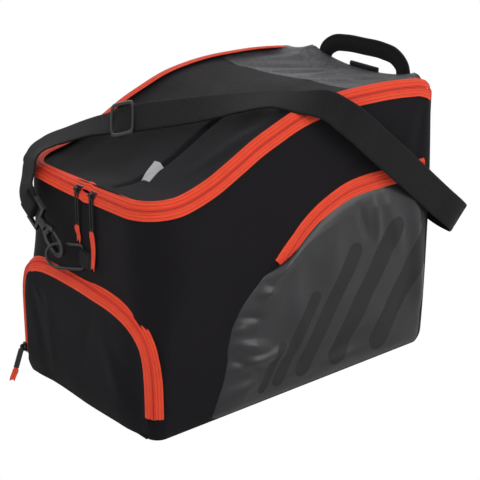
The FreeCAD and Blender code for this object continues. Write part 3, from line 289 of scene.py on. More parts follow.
class Finish:
    """A named material with one principled shader, built node by node."""

    def __init__(self, name, **constants):
        self.material = bpy.data.materials.new(name)
        self.material.use_nodes = True
        self.nodes = self.material.node_tree.nodes
        self.shader = self.nodes["Principled BSDF"]
        for key, value in constants.items():
            self.shader.inputs[key.replace("_", " ")].default_value = value

    def node(self, kind, settings=None, inputs=None, output=0):
        made = self.nodes.new(kind)
        for key, value in (settings or {}).items():
            setattr(made, key, value)
        for key, value in (inputs or {}).items():
            self.feed(made.inputs[key], value)
        return Value(self, made.outputs[output])

    def feed(self, socket, value):
        if isinstance(value, Value):
            self.material.node_tree.links.new(value.socket, socket)
        else:
            socket.default_value = value

    def set(self, name, value):
        self.feed(self.shader.inputs[name], value)

    def place(self):
        return self.node("ShaderNodeTexCoord", output="Object")

    def split(self, spot):
        """The three numbers of a place."""
        parts = self.nodes.new("ShaderNodeSeparateXYZ")
        self.feed(parts.inputs[0], spot)
        return [Value(self, output) for output in parts.outputs]

    def chart(self):
        """The two cloth coordinates in metres."""
        return self.split(self.node("ShaderNodeUVMap", {"uv_map": "cloth"}))[:2]

    def noise(self, scale, detail=3.0):
        """Uneven grey on the piece's own place, with this many grains to a metre."""
        return self.node("ShaderNodeTexNoise", None, {
            "Vector": self.place(), "Scale": scale, "Detail": detail, "Roughness": 0.55})

    def blend(self, share, first, second):
        """A colour between two others."""
        return self.node("ShaderNodeMix", {"data_type": "RGBA"}, {
            "Factor": share, 6: first, 7: second}, output=2)

    def bump(self, height, distance, strength=1.0):
        self.set("Normal", self.node("ShaderNodeBump", None, {
            "Height": height, "Distance": distance, "Strength": strength}))


def weave(finish, pitch):
    """Plain weave: the product of two sine waves along the cloth's threads, from -1 to 1."""
    u, v = finish.chart()
    turn = 2 * math.pi / pitch
    return (u * turn).sine() * (v * turn).sine()


BLACK_CLOTH = ((0.0050, 0.0044, 0.0054, 1), (0.0105, 0.0092, 0.0112, 1))
CLOTH_THREADS = 0.0011

polyester = Finish("black_polyester", Sheen_Weight=0.02, Sheen_Roughness=0.4, Specular_IOR_Level=0.08)
threads = weave(polyester, CLOTH_THREADS)
mottle = polyester.noise(160.0)
shade = (mottle * 0.8 + threads * 0.10 + polyester.noise(14.0) * 0.4 - 0.1).share()
polyester.set("Base Color", polyester.blend(shade, *BLACK_CLOTH))
polyester.set("Roughness", 0.62 + mottle * 0.22)
polyester.bump(threads * 0.4 + mottle + polyester.noise(900.0, 2.0) * 0.6, 0.0006, 0.5)


def stations(stops, counts):
    """Values from the first stop to the last, evenly spaced between each two, with a count of
    values for each stretch and every inner stop taken once."""
    stretches = list(zip(stops[:-1], stops[1:], counts))
    inner = [np.linspace(*stretch)[:-1] for stretch in stretches[:-1]]
    return np.concatenate(inner + [np.linspace(*stretches[-1])])


ROWS_UP = 84
BELOW_ZIP = 0.0020
BELOW_REAR_EDGE = 0.0016
REAR_OVERLAP = 0.0006


def standing_cloth(name, t, top, out=0.0):
    """A wall's cloth: columns at t, each with even steps from the foot to its own top."""
    up = np.linspace(0, 1, ROWS_UP)
    grid_t = np.repeat(t[:, None], ROWS_UP, 1)
    grid_z = WALL_FOOT + (top[:, None] - WALL_FOOT) * up[None, :]
    return slab(name, wall(grid_t, grid_z, out), WALL, polyester.material)


body_t = stations([1.5, 2, 3, 4, 5, 6, 7, 7.5], [6, 110, 22, 52, 22, 100, 6])
edge_x, edge_y, _ = plan(body_t)
body_cloth = standing_cloth("bag_wall", body_t, zip_height(edge_x, edge_y) - BELOW_ZIP)
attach(body_cloth, "bag")
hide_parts("front_panel", "side_panel_near", "side_panel_far")

rear_t = stations([7.5, 8, 10, 10.5], [8, 50, 8])
rear_x, rear_y, _ = plan(rear_t)
rear_cloth = standing_cloth("rear_wall", rear_t, rear_edge(rear_x, rear_y) - BELOW_REAR_EDGE, REAR_OVERLAP)
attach(rear_cloth, "bag")
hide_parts("rear_panel")


# ---- Base
# A flat panel of the same polyester under the compartment, and a stiff board loose inside it
# that keeps the bag square.

def patch(x_low, x_high, inset, rows, columns):
    """Grid over the plan: straight rows across the bag, each as wide as the outline inset there.
    It gives x, y and the share across, from -1 at the near edge to 1 at the far one."""
    x = np.linspace(x_low, x_high, rows)
    x_front, x_rear, half = FRONT + inset, REAR - inset, HALF - inset
    front_radius, rear_radius = FRONT_CORNER - inset, REAR_CORNER - inset
    into_front = np.clip(front_radius - (x - x_front), 0, front_radius)
    into_rear = np.clip(rear_radius - (x_rear - x), 0, rear_radius)
    width = half - (front_radius - np.sqrt(front_radius ** 2 - into_front ** 2))
    width = width - (rear_radius - np.sqrt(rear_radius ** 2 - into_rear ** 2))
    across = np.linspace(-1, 1, columns)[None, :]
    x, width = x[:, None], width[:, None]
    return x + 0 * across, width * across, across + 0 * x


BASE_INSET = 0.009
BASE_LEVEL = 0.0028
BASE_THICKNESS = 0.0024
base_x, base_y, _ = patch(FRONT + BASE_INSET, REAR - BASE_INSET, BASE_INSET, 60, 40)
base_z = BASE_LEVEL + 0.0002 * rolling(base_x, base_y, 0.09, 8)
base_cloth = slab("base_cloth", np.stack([base_x, base_y, base_z], -1), BASE_THICKNESS, polyester.material)
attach(base_cloth, "bag")
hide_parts("base_panel")

board = Finish("grey_board", Roughness=0.6)
board.set("Base Color", board.blend(
    board.noise(60.0), (0.020, 0.020, 0.021, 1), (0.032, 0.032, 0.034, 1)))
board.bump(board.noise(700.0), 0.0003, 0.4)
frame["nodes"]["base_board"].data.materials.clear()
frame["nodes"]["base_board"].data.materials.append(board.material)


# ---- Lid
# Black polyester over the front two thirds, open mesh over a dark red lining at the rear. It is
# sewn to the rear wall's top edge, which is its hinge, and zipped round the other three sides.

HINGE = (REAR, 0.0, REAR_TOP)
LID_ENDS = (REAR - 0.045, 0.0, REAR_TOP)
SEAM = 0.073
SEAM_OVERLAP = 0.006
LID_INSET = 0.0030
NEAR_SHOULDER = 0.0078
SHOULDER_FALL = 0.0091
FRONT_DISH = -0.0038
REAR_DISH = 0.0060
LID_FOLDS = [
    (-0.198, -0.040, -0.010, -0.036, 0.0038, -0.0046), (-0.150, 0.020, -0.040, 0.060, 0.016, 0.0020),
    (-0.060, -0.090, 0.050, -0.060, 0.014, -0.0022), (-0.010, 0.010, 0.060, 0.085, 0.012, -0.0025),
    (-0.120, -0.085, -0.030, -0.105, 0.010, 0.0020), (-0.190, 0.060, -0.110, 0.095, 0.012, -0.0016),
]
MESH_FOLDS = [
    (0.080, 0.085, 0.190, 0.020, 0.010, -0.0045), (0.095, -0.010, 0.195, -0.035, 0.009, 0.0040),
    (0.090, 0.040, 0.175, -0.010, 0.008, -0.0040), (0.110, -0.075, 0.195, -0.060, 0.010, -0.0040),
    (0.080, -0.040, 0.150, -0.090, 0.008, 0.0030), (0.120, 0.095, 0.190, 0.075, 0.008, 0.0030),
]


def lid_height(x, y, across):
    """Height of the lid: the rim's profile and a shoulder that falls towards the far side, less a
    dish that deepens to the rear, plus folds; at the rear it flows into the rear wall's edge."""
    width = np.clip(1 - across ** 2, 0, 1) * smooth_step(x, FRONT, FRONT + 0.045)
    dish = FRONT_DISH - REAR_DISH * smooth_step(x, 0.03, 0.13)
    shoulder = NEAR_SHOULDER - SHOULDER_FALL * smooth_step(y, -0.06, 0.11)
    rim = zip_height(np.minimum(x, 0.190), y) + shoulder
    give = 0.0012 * rolling(x, y, 0.10, 21) + creases(x, y, LID_FOLDS) + creases(x, y, MESH_FOLDS)
    settle = np.clip(width * 4, 0, 1)
    lid = rim + dish * width ** 0.7 + give * settle
    at_rear = smooth_step(x, 0.150, REAR)
    meeting = give * settle * at_rear * (1 - at_rear) * 2
    return lid * (1 - at_rear) + (rear_edge(x, y) + 0.0006) * at_rear + meeting


def lid_part(name, x_low, x_high, finish, drop, inset, thickness, rows, columns):
    """A cloth of the lid between two places along the bag, lower than the lid by a drop."""
    x, y, across = patch(x_low, x_high, inset, rows, columns)
    z = lid_height(x, y, across) - drop
    return slab(name, np.stack([x, y, z], -1), thickness, finish)


lid_cloth = lid_part("lid_cloth", FRONT + LID_INSET, SEAM + SEAM_OVERLAP, polyester.material,
                     drop=0.0, inset=LID_INSET, thickness=0.0022, rows=130, columns=110)
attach(lid_cloth, "lid")
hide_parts("lid_panel")

NET_PITCH = 0.0030
HOLE_FROM = 0.12
HOLE_CLEAR = 0.75

net = Finish("mesh_with_painted_glints", Roughness=0.42, Specular_IOR_Level=0.3)
net_u, net_v = net.chart()
pitch = 2 * math.pi / NET_PITCH
holes = ((net_u + net_v * 0.5) * pitch).sine() * ((net_v * 0.9 - net_u * 0.35) * pitch).sine()
glints = net.noise(260.0, 2.0)
lay = net.noise(26.0, 2.0)
# Painted highlights: the dark mesh's colour is lifted to pale grey where the fine glint noise peaks, standing
# in for glints of light on its threads.
painted_glints = (glints * 1.6 - 0.45).share() * lay
net.set("Base Color", net.blend(painted_glints, (0.016, 0.015, 0.018, 1), (0.24, 0.24, 0.27, 1)))
net.set("Alpha", 1 - (holes > HOLE_FROM) * HOLE_CLEAR)
net.bump(holes * -0.5 + glints, 0.0012, 0.7)
lid_mesh = lid_part("lid_mesh", SEAM, REAR - 0.0002, net.material,
                    drop=0.0006, inset=LID_INSET, thickness=0.0009, rows=90, columns=120)
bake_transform(lid_mesh)
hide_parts("lid_mesh_panel")

red = Finish("dark_red_lining", Roughness=0.7, Specular_IOR_Level=0.1)
clouds = (red.noise(35.0, 2.0) * 2.2 - 0.7).share()
red.set("Base Color", red.blend(clouds, (0.010, 0.008, 0.010, 1), (0.13, 0.012, 0.020, 1)))
red.bump(red.noise(500.0), 0.0005, 0.5)
lid_lining = lid_part("lid_lining_cloth", SEAM + 0.002, REAR - 0.001, red.material,
                      drop=0.0034, inset=0.0070, thickness=0.0010, rows=50, columns=60)
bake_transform(lid_lining)
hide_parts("lid_lining")

LABEL_X = (-0.156, -0.124)
LABEL_Y = (-0.056, -0.040)
LABEL_SLANT = 0.55
LABEL_LIFT = 0.0009
LABEL_THICKNESS = 0.0010
LID_HALF = 0.112

woven_label = Finish("pale_woven_label", Roughness=0.8, Specular_IOR_Level=0.1)
label_threads = weave(woven_label, 0.0012)
woven_label.set("Base Color", woven_label.blend(
    label_threads * 0.5 + 0.5, (0.36, 0.36, 0.37, 1), (0.60, 0.60, 0.61, 1)))
woven_label.bump(label_threads, 0.0003, 0.5)
label_x, label_y = np.meshgrid(np.linspace(*LABEL_X, 18), np.linspace(*LABEL_Y, 12), indexing="ij")
label_y = label_y + (label_x - LABEL_X[0]) * LABEL_SLANT
label_z = lid_height(label_x, label_y, label_y / LID_HALF) + LABEL_LIFT
label = slab("lid_label_cloth", np.stack([label_x, label_y, label_z], -1), LABEL_THICKNESS,
             woven_label.material)
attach(label, "lid")
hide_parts("lid_label")


# ---- Lid zip
# Orange woven tape in two halves with a coil on each. The lower half is sewn to the bag's wall,
# the upper half to the lid, and it rolls inwards over the shoulder.

STITCHES = (0.0030, 0.0062)
STITCH_HALF = 0.0004

orange = Finish("orange_tape", Roughness=0.62, Sheen_Weight=0.05, Specular_IOR_Level=0.2)
ribs = weave(orange, 0.0013)
glow = orange.noise(90.0) * 0.7 + ribs * 0.2
_, tape_v = orange.chart()
seams = (abs(tape_v - STITCHES[0]) < STITCH_HALF).at_least(abs(tape_v - STITCHES[1]) < STITCH_HALF)
woven = orange.blend((glow + 0.1).share(), (0.80, 0.050, 0.016, 1), (0.98, 0.105, 0.042, 1))
orange.set("Base Color", orange.blend(seams * 0.55, woven, (0.40, 0.020, 0.008, 1)))
orange.bump(ribs + orange.noise(500.0), 0.0004, 0.5)
coil_orange = Finish("orange_coil", Roughness=0.5, Specular_IOR_Level=0.4)
coil_orange.set("Base Color", coil_orange.blend(
    coil_orange.noise(300.0), (0.50, 0.022, 0.008, 1), (0.72, 0.040, 0.014, 1)))


def strip(name, path, across, outwards, widths, lifts, finish, thickness):
    """A narrow band: the path's points plus widths along one direction and lifts along another,
    turned round if its faces would look inwards. lifts has a row for each point, or one for all."""
    grid = (path[:, None] + across[:, None] * widths[None, :, None]
            + outwards[:, None] * np.atleast_2d(lifts)[..., None])
    normals = np.cross(np.gradient(grid, axis=0), np.gradient(grid, axis=1))
    if np.mean(np.sum(normals * outwards[:, None], -1)) < 0:
        grid = grid[:, ::-1]
    return slab(name, grid, thickness, finish)


def unit(vectors):
    """Vectors divided by their lengths."""
    return vectors / np.linalg.norm(vectors, axis=-1, keepdims=True)


TAPE_WIDTHS = np.array([0.0014, 0.0022, 0.0030, 0.0036, 0.0042, 0.0050,
                        0.0062, 0.0074, 0.0082, 0.0090, 0.0098, 0.0106])
TAPE_RIDGE = np.array([0.0004, 0.0007, 0.0011, 0.0009, 0.0003, 0.0006,
                       0.0010, 0.0010, 0.0007, 0.0002, 0.0006, 0.0003])
TAPE_ROLL = np.array([0, 0, 0, 0, 0, 0, 1, 3, 5, 8, 12, 16])
ROLL_STEP = {"a": 0.00002, "b": 0.0001}
TAPE_THICKNESS = 0.0010
TAPE_EVERY = 5
COIL_WIDTHS = np.array([0.00003, 0.0006, 0.0012, 0.0018])
COIL_RIDGE = np.array([0.0009, 0.0011, 0.0010, 0.0004])
COIL_TEETH = np.array([0.0, 0.0006, 0.0007, 0.0003])
COIL_THICKNESS = 0.0012
TOOTH = 0.0019


def run_along(path):
    """Distance along a line from its first point to each of its points."""
    return np.concatenate([[0], np.cumsum(np.linalg.norm(np.diff(path, axis=0), axis=-1))])


def coil_lifts(path):
    """Teeth of a coil: a low round ridge across the band that rises and falls once a tooth."""
    wave = 0.5 + 0.5 * np.cos(2 * np.pi * run_along(path) / TOOTH)
    return wave[:, None] * COIL_TEETH[None, :] + COIL_RIDGE


def zip_pair(name, path, out_low, out_high, turn, bodies, nodes, gap=None, hinge=None):
    """Both halves of a zip along a path: tape and coil on each side, lying square to an outward
    direction that differs for the two halves. turn says on which side of the path half a lies,
    gap opens the halves, and a half on hinge's second body is baked in place instead of attached;
    the rest of hinge, its first body and its two places, is not used."""
    gap = np.zeros(len(path)) if gap is None else gap
    tangent = unit(np.gradient(path, axis=0))
    halves = (("a", out_low, bodies[0], nodes[0]), ("b", out_high, bodies[1], nodes[1]))
    every = slice(None, None, TAPE_EVERY)
    for half, outwards, body, replaced in halves:
        sign = -1 if half == "a" else 1
        outwards = unit(outwards - np.sum(outwards * tangent, -1, keepdims=True) * tangent)
        across = unit(np.cross(tangent, outwards)) * turn * sign
        start = path + across * gap[:, None]
        tape = strip(f"{name}_tape_{half}", start[every], across[every], outwards[every], TAPE_WIDTHS,
                     TAPE_RIDGE - TAPE_ROLL * ROLL_STEP[half], orange.material, TAPE_THICKNESS)
        coil = strip(f"{name}_coil_{half}", start, across, outwards, COIL_WIDTHS, coil_lifts(path),
                     coil_orange.material, COIL_THICKNESS)
        for item, old, slot in ((tape, replaced[0], "zip_tape"), (coil, replaced[1], "zip_coil")):
            if hinge and body == hinge[1]:
                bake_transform(item)
            else:
                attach(item, body)
            if old:
                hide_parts(old)


ZIP_OUT = 0.0022
ZIP_OPEN = 0.0013

even = np.linspace(0, 1, 3001)
rough_t = np.linspace(1.62, 7.38, 4000)
rough_x, rough_y, rough_n = plan(rough_t)
rough = np.stack([rough_x, rough_y, zip_height(rough_x, rough_y)], -1) + rough_n * ZIP_OUT
run = run_along(rough)
zip_t = np.interp(even * run[-1], run, rough_t)
zip_x, zip_y, zip_n = plan(zip_t)
zip_path = np.stack([zip_x, zip_y, zip_height(zip_x, zip_y)], -1) + zip_n * ZIP_OUT
low_slider, high_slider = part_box("lid_slider_right"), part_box("lid_slider_left")
open_from, open_to = low_slider[1].y, high_slider[0].y
at_front = (zip_path[:, 0] < FRONT + 0.002) * (zip_path[:, 1] > open_from) * (zip_path[:, 1] < open_to)
between = np.clip((zip_path[:, 1] - open_from) / (open_to - open_from), 0, 1)
opened = ZIP_OPEN * at_front * np.sin(np.pi * between)
to_far = smooth_step(zip_y, -0.06, 0.11)[:, None]
skyward = np.array([0, 0, 1.0])
leaning = unit(zip_n * (0.86 - 0.56 * to_far) + skyward * (0.50 + 0.44 * to_far))
lower_face = unit(zip_n * (0.98 - 0.48 * to_far) + skyward * (0.20 + 0.60 * to_far))
zip_pair("lid_zip", zip_path, lower_face, leaning, 1, ("bag", "lid"),
         (("lid_tape_lower", "lid_coil_lower"), ("lid_tape_upper", "lid_coil_upper")), gap=opened,
         hinge=("bag", "lid", HINGE, LID_ENDS))


# ---- Front pocket
# A low pocket that stands out from the front face: a band round its edge, a floor, and a front that
# opens along an arched zip and folds at its foot.

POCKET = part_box("pocket_flap")[0].x
# Places along the zip from the foot of its near leg over the top to the foot of its far leg.
ARCH = [
    (-0.2026, -0.1190, 0.0300), (-0.2026, -0.1190, 0.0500), (-0.2030, -0.1188, 0.0740),
    (-0.2040, -0.1174, 0.0970), (-0.2054, -0.1134, 0.1135), (-0.2068, -0.1056, 0.1255),
    (-0.2082, -0.0938, 0.1355), (-0.2095, -0.0762, 0.1432), (-0.2098, -0.0560, 0.1470),
    (-0.2105, -0.0310, 0.1492), (-0.2105, -0.0060, 0.1508), (-0.2105, 0.0257, 0.1515),
    (-0.2110, 0.0548, 0.1515), (-0.2120, 0.0753, 0.1500), (-0.2135, 0.0930, 0.1445),
    (-0.2145, 0.1045, 0.1345), (-0.2150, 0.1105, 0.1190), (-0.2150, 0.1128, 0.1020),
    (-0.2150, 0.1132, 0.0850), (-0.2150, 0.1133, 0.0600), (-0.2150, 0.1134, 0.0400),
    (-0.2150, 0.1134, 0.0270),
]


def through(points, count):
    """A smooth line through points: each coordinate flows along the straight-line run between
    them, and the samples are then spaced evenly."""
    points = np.asarray(points, float)
    run = run_along(points[:, :3])
    fine = np.linspace(0, run[-1], count * 4)
    line = np.stack([flowing(fine, run, points[:, k]) for k in range(points.shape[1])], -1)
    length = run_along(line[:, :3])
    steps = np.linspace(0, length[-1], count)
    return np.stack([np.interp(steps, length, line[:, k]) for k in range(points.shape[1])], -1)


arch = through(ARCH, 1501)
arch_tangent = unit(np.gradient(arch, axis=0))
rearward = np.array([1.0, 0, 0])
arch_out = unit(np.cross(rearward, arch_tangent))
far_leg = smooth_step(arch[:, 1], 0.085, 0.110)[:, None]
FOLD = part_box("pocket_flap")[0].z
FOLD_FROM = (POCKET, 0.0, FOLD - 0.004)
FOLD_TO = (POCKET, 0.0, FOLD + 0.006)
near_bend = smooth_step(arch[:, 2], 0.060, 0.105) * (1 - smooth_step(arch[:, 1], -0.070, 0.010))
near_bend = near_bend[:, None]
outer_face = unit(arch_out * (0.78 - 0.34 * near_bend) - rearward * (0.62 + 0.30 * near_bend))
inner_face = unit(arch_out * (0.52 - 0.30 * far_leg) - rearward * 0.86)
zip_pair("pocket_zip", arch, outer_face, inner_face, -1, ("bag", "pocket_flap"),
         (("pocket_tape_outer", "pocket_coil_outer"), ("pocket_tape_inner", "pocket_coil_inner")),
         hinge=("bag", "pocket_flap", FOLD_FROM, FOLD_TO))


def stretched(foot, top, start, end):
    """A cloth held by four edges (a Coons patch): the straight blend of foot and top, plus that of
    start and end, less that of the four corners."""
    u = np.linspace(0, 1, len(foot))[:, None, None]
    v = np.linspace(0, 1, len(start))[None, :, None]
    foot, top, start, end = foot[:, None], top[:, None], start[None], end[None]
    low = (1 - u) * start[:, :1] + u * end[:, :1]
    high = (1 - u) * start[:, -1:] + u * end[:, -1:]
    return (1 - v) * (foot - low) + v * (top - high) + (1 - u) * start + u * end


UNDER_TAPE = 0.0066
LEG_TOP = 0.100
FOOT_LEVEL = 0.0032
FOOT_NEAR = (-0.1120, FOOT_LEVEL)
FOOT_FAR = (0.1085, FOOT_LEVEL)
ACROSS, UP = 130, 100
half_way = len(arch) // 2
inner_edge = arch[:, 1:] - arch_out[:, 1:] * UNDER_TAPE
near_end = int(np.argmin(np.abs(arch[:half_way, 2] - LEG_TOP)))
far_end = half_way + int(np.argmin(np.abs(arch[half_way:, 2] - LEG_TOP)))
flat = stretched(through([FOOT_NEAR, FOOT_FAR], ACROSS),
                 through(inner_edge[near_end:far_end + 1:25], ACROSS),
                 through([FOOT_NEAR, tuple(inner_edge[40]), tuple(inner_edge[near_end])], UP),
                 through([FOOT_FAR, tuple(inner_edge[-40]), tuple(inner_edge[far_end])], UP))
flap_y, flap_z = flat[..., 0], flat[..., 1]
coarse = arch[::8]
gaps = np.linalg.norm(flat[:, :, None] - coarse[None, None, :, 1:], axis=-1)
to_arch, nearest = gaps.min(-1), coarse[gaps.argmin(-1), 0]
inside = smooth_step(to_arch, 0.010, 0.055)
nearest = nearest * (1 - inside) + (POCKET + 0.0030) * inside
POCKET_FOLDS = [(-0.095, 0.020, -0.050, 0.100, 0.010, 0.0014), (0.090, 0.120, 0.070, 0.050, 0.008, -0.0018),
                (0.060, 0.125, 0.052, 0.030, 0.010, 0.0014), (-0.085, 0.060, -0.060, 0.120, 0.012, -0.0014),
                (0.000, 0.020, 0.050, 0.060, 0.020, 0.0012), (-0.030, 0.130, -0.010, 0.070, 0.010, -0.0010)]
forwards = 0.0040 * np.clip(to_arch / 0.0100, 0, 1) + 0.0022 * smooth_step(to_arch, 0.010, 0.040)
forwards = forwards + smooth_step(to_arch, 0.008, 0.020) * (
    creases(flap_y, flap_z, POCKET_FOLDS) + 0.0010 * rolling(flap_y, flap_z, 0.09, 3))
TUCK_HEIGHT = 0.034
TUCK_DEPTH = 0.0105
POCKET_WALL = 0.0024
tuck = np.clip(1 - flap_z / TUCK_HEIGHT, 0, 1) ** 2
flap_x = nearest - forwards + TUCK_DEPTH * tuck
flap = slab("pocket_front", np.stack([flap_x, flap_y, flap_z], -1)[::-1], POCKET_WALL, polyester.material)
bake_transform(flap)
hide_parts("pocket_flap", "pocket_apron")

band = through([(-0.2010, -0.1150, FOOT_LEVEL)] + ARCH + [(-0.2080, 0.1105, FOOT_LEVEL)], 300)
band_tangent = unit(np.gradient(band, axis=0))
band_out = unit(np.cross(rearward, band_tangent))
BAND_THICKNESS = 0.0018
steps = np.linspace(0, 1, 7)[None, :]
gusset = band[:, None] + band_out[:, None] * (0.0004 + 0.0044 * steps)[..., None]
gusset[..., 0] = band[:, :1] + 0.0018 + (FRONT + 0.010 - band[:, :1]) * steps
gusset_cloth = slab("pocket_band", gusset[::-1], BAND_THICKNESS, polyester.material)
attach(gusset_cloth, "bag")
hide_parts("pocket_gusset")

FLOOR_HALF = 0.1080
FLOOR_LEVEL = 0.0050
floor_y = np.linspace(-FLOOR_HALF, FLOOR_HALF, 60)[None, :]
floor_x = np.linspace(FRONT - 0.0020, FRONT + 0.012, 8)[:, None]
floor_grid = np.stack([floor_x + 0 * floor_y, floor_y + 0 * floor_x, FLOOR_LEVEL + 0 * floor_x * floor_y], -1)
pocket_floor = slab("pocket_bottom", floor_grid, POCKET_WALL, polyester.material)
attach(pocket_floor, "bag")
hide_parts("pocket_floor")


# ---- Side pocket
# A glossy coated tarpaulin sewn over the near side, with matt slanted bars printed on it, gathered
# along its front seam, under a zip that bends down at its front end.

def side_t(x):
    """The plan's t for a place along the near side, on round the rear corner."""
    return 2 + (REAR - REAR_CORNER - x) / (REAR - REAR_CORNER - FRONT - FRONT_CORNER)


SIDE_ZIP = [(-0.0320, 0.1640), (-0.0130, 0.1850), (0.0040, 0.1990), (0.0230, 0.2110), (0.0440, 0.2200),
            (0.0660, 0.2265), (0.0900, 0.2290), (0.1270, 0.2290), (0.1600, 0.2290), (0.1860, 0.2295)]
SIDE_SEAM = [(-0.1100, 0.0030), (-0.1030, 0.0180), (-0.0930, 0.0450), (-0.0890, 0.0610), (-0.0870, 0.0820),
             (-0.0840, 0.0980), (-0.0780, 0.1180), (-0.0710, 0.1340), (-0.0610, 0.1460), (-0.0520, 0.1560),
             (-0.0400, 0.1600)]
SIDE_ZIP_OUT = 0.0036
REAR_FOOT = (0.2080, 0.0030)
REAR_HEAD = (0.2080, 0.2210)
side_line = through(SIDE_ZIP, 1201)
zip_points = wall(side_t(side_line[:, 0]), side_line[:, 1], SIDE_ZIP_OUT)
zip_normal = np.tile(np.array([0.0, -1.0, 0.0]), (len(zip_points), 1))
zip_pair("side_zip", zip_points, zip_normal, zip_normal, -1, ("bag", "bag"),
         (("side_tape_lower", None), ("side_tape_upper", "side_coil")))

rows, columns = 110, 150
under_zip = [(x + 0.0035, z - 0.0085) for x, z in SIDE_ZIP[1:]]
spread = stretched(through([SIDE_SEAM[0], REAR_FOOT], columns),
                   through([SIDE_SEAM[-1]] + under_zip + [REAR_HEAD], columns),
                   through(SIDE_SEAM, rows), through([REAR_FOOT, REAR_HEAD], rows))
PUCKERS = [
    (-0.085, 0.090, -0.040, 0.075, 0.0060, 0.0050), (-0.088, 0.060, -0.015, 0.062, 0.0075, 0.0055),
    (-0.076, 0.120, -0.050, 0.112, 0.0045, -0.0042), (-0.060, 0.142, -0.038, 0.138, 0.0050, 0.0040),
    (-0.050, 0.150, -0.020, 0.170, 0.0080, 0.0048), (-0.090, 0.075, -0.050, 0.050, 0.0050, -0.0035),
    (-0.098, 0.030, -0.050, 0.035, 0.0080, 0.0030), (-0.086, 0.105, -0.066, 0.104, 0.0040, 0.0035),
    (0.165, 0.205, 0.186, 0.060, 0.0100, 0.0050), (0.120, 0.210, 0.150, 0.140, 0.0090, 0.0030),
    (0.080, 0.205, 0.095, 0.165, 0.0060, -0.0030), (0.105, 0.210, 0.110, 0.160, 0.0050, 0.0026),
    (0.020, 0.020, 0.110, 0.055, 0.0120, -0.0022), (-0.020, 0.030, 0.120, 0.018, 0.0100, 0.0022),
    (0.040, 0.195, 0.050, 0.120, 0.0140, 0.0020), (0.140, 0.030, 0.175, 0.110, 0.0140, -0.0024),
]
FILM = 0.0012
SIDE_SWELL = 0.0052
from_seam = np.linspace(0, 1, columns)[:, None]
from_foot = np.linspace(0, 1, rows)[None, :]
inside = (np.clip(from_seam * 9, 0, 1) * np.clip((1 - from_seam) * 12, 0, 1)
          * np.clip(from_foot * 9, 0, 1) * np.clip((1 - from_foot) * 9, 0, 1)) ** 0.6
spread_x, spread_z = spread[..., 0], spread[..., 1]
crumple = creases(spread_x, spread_z, PUCKERS) + 0.0014 * rolling(spread_x, spread_z, 0.06, 12)
lift = FILM + inside * (SIDE_SWELL + crumple)
glossy_points = wall(side_t(spread_x), spread_z, lift)

tarpaulin = Finish("glossy_tarpaulin", Specular_IOR_Level=0.4)
side_x, _, side_z = tarpaulin.split(tarpaulin.place())
# Printed bars with round ends: middle along the bag, middle height, half length and half width.
BARS = [(-0.048, 0.046, 0.026, 0.0060), (-0.012, 0.070, 0.050, 0.0085), (0.036, 0.092, 0.072, 0.0110),
        (0.094, 0.100, 0.080, 0.0135), (0.156, 0.092, 0.070, 0.0160)]
SLANT = math.radians(58)
printed = None
for bar_x, bar_z, half_length, half_width in BARS:
    along = abs((side_x - bar_x) * math.cos(SLANT) + (side_z - bar_z) * math.sin(SLANT))
    beside = (side_x - bar_x) * math.sin(SLANT) - (side_z - bar_z) * math.cos(SLANT)
    past = (along - half_length).at_least(0.0)
    bar = (past * past + beside * beside) < half_width ** 2
    printed = bar if printed is None else printed.at_least(bar)
film = tarpaulin.noise(30.0, 4.0)
grain = tarpaulin.noise(1100.0, 2.0)
plain_film = tarpaulin.blend(film, (0.010, 0.010, 0.0115, 1), (0.021, 0.021, 0.024, 1))
tarpaulin.set("Base Color", tarpaulin.blend(printed, plain_film, (0.0050, 0.0045, 0.0055, 1)))
tarpaulin.set("Roughness", 0.30 + film * 0.10 + printed * 0.32)
tarpaulin.bump(film * 0.6 + grain * 0.05, 0.0030, 0.35)
glossy = slab("side_pocket_cloth", glossy_points[::-1], FILM, tarpaulin.material)
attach(glossy, "bag")
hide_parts("side_pocket_panel")


# ---- Shoulder strap
# Black ribbed webbing, 38 mm wide: from the front snap hook over the lid, across the near rim, down
# the side to a loose bend and back up to the rear snap hook.

webbing = Finish("black_webbing", Roughness=0.7, Sheen_Weight=0.03, Specular_IOR_Level=0.10)
web_u, web_v = webbing.chart()
web_ribs = (web_u * (2 * math.pi / 0.0021)).sine() * 0.5 + (web_v * (2 * math.pi / 0.0016)).sine() * 0.5
web_shade = (webbing.noise(300.0) * 0.7 + web_ribs * 0.25).share()
webbing.set("Base Color", webbing.blend(
    web_shade, (0.0045, 0.0043, 0.0050, 1), (0.0125, 0.0118, 0.0135, 1)))
webbing.bump(web_ribs + webbing.noise(900.0, 2.0) * 0.5, 0.0007, 0.6)

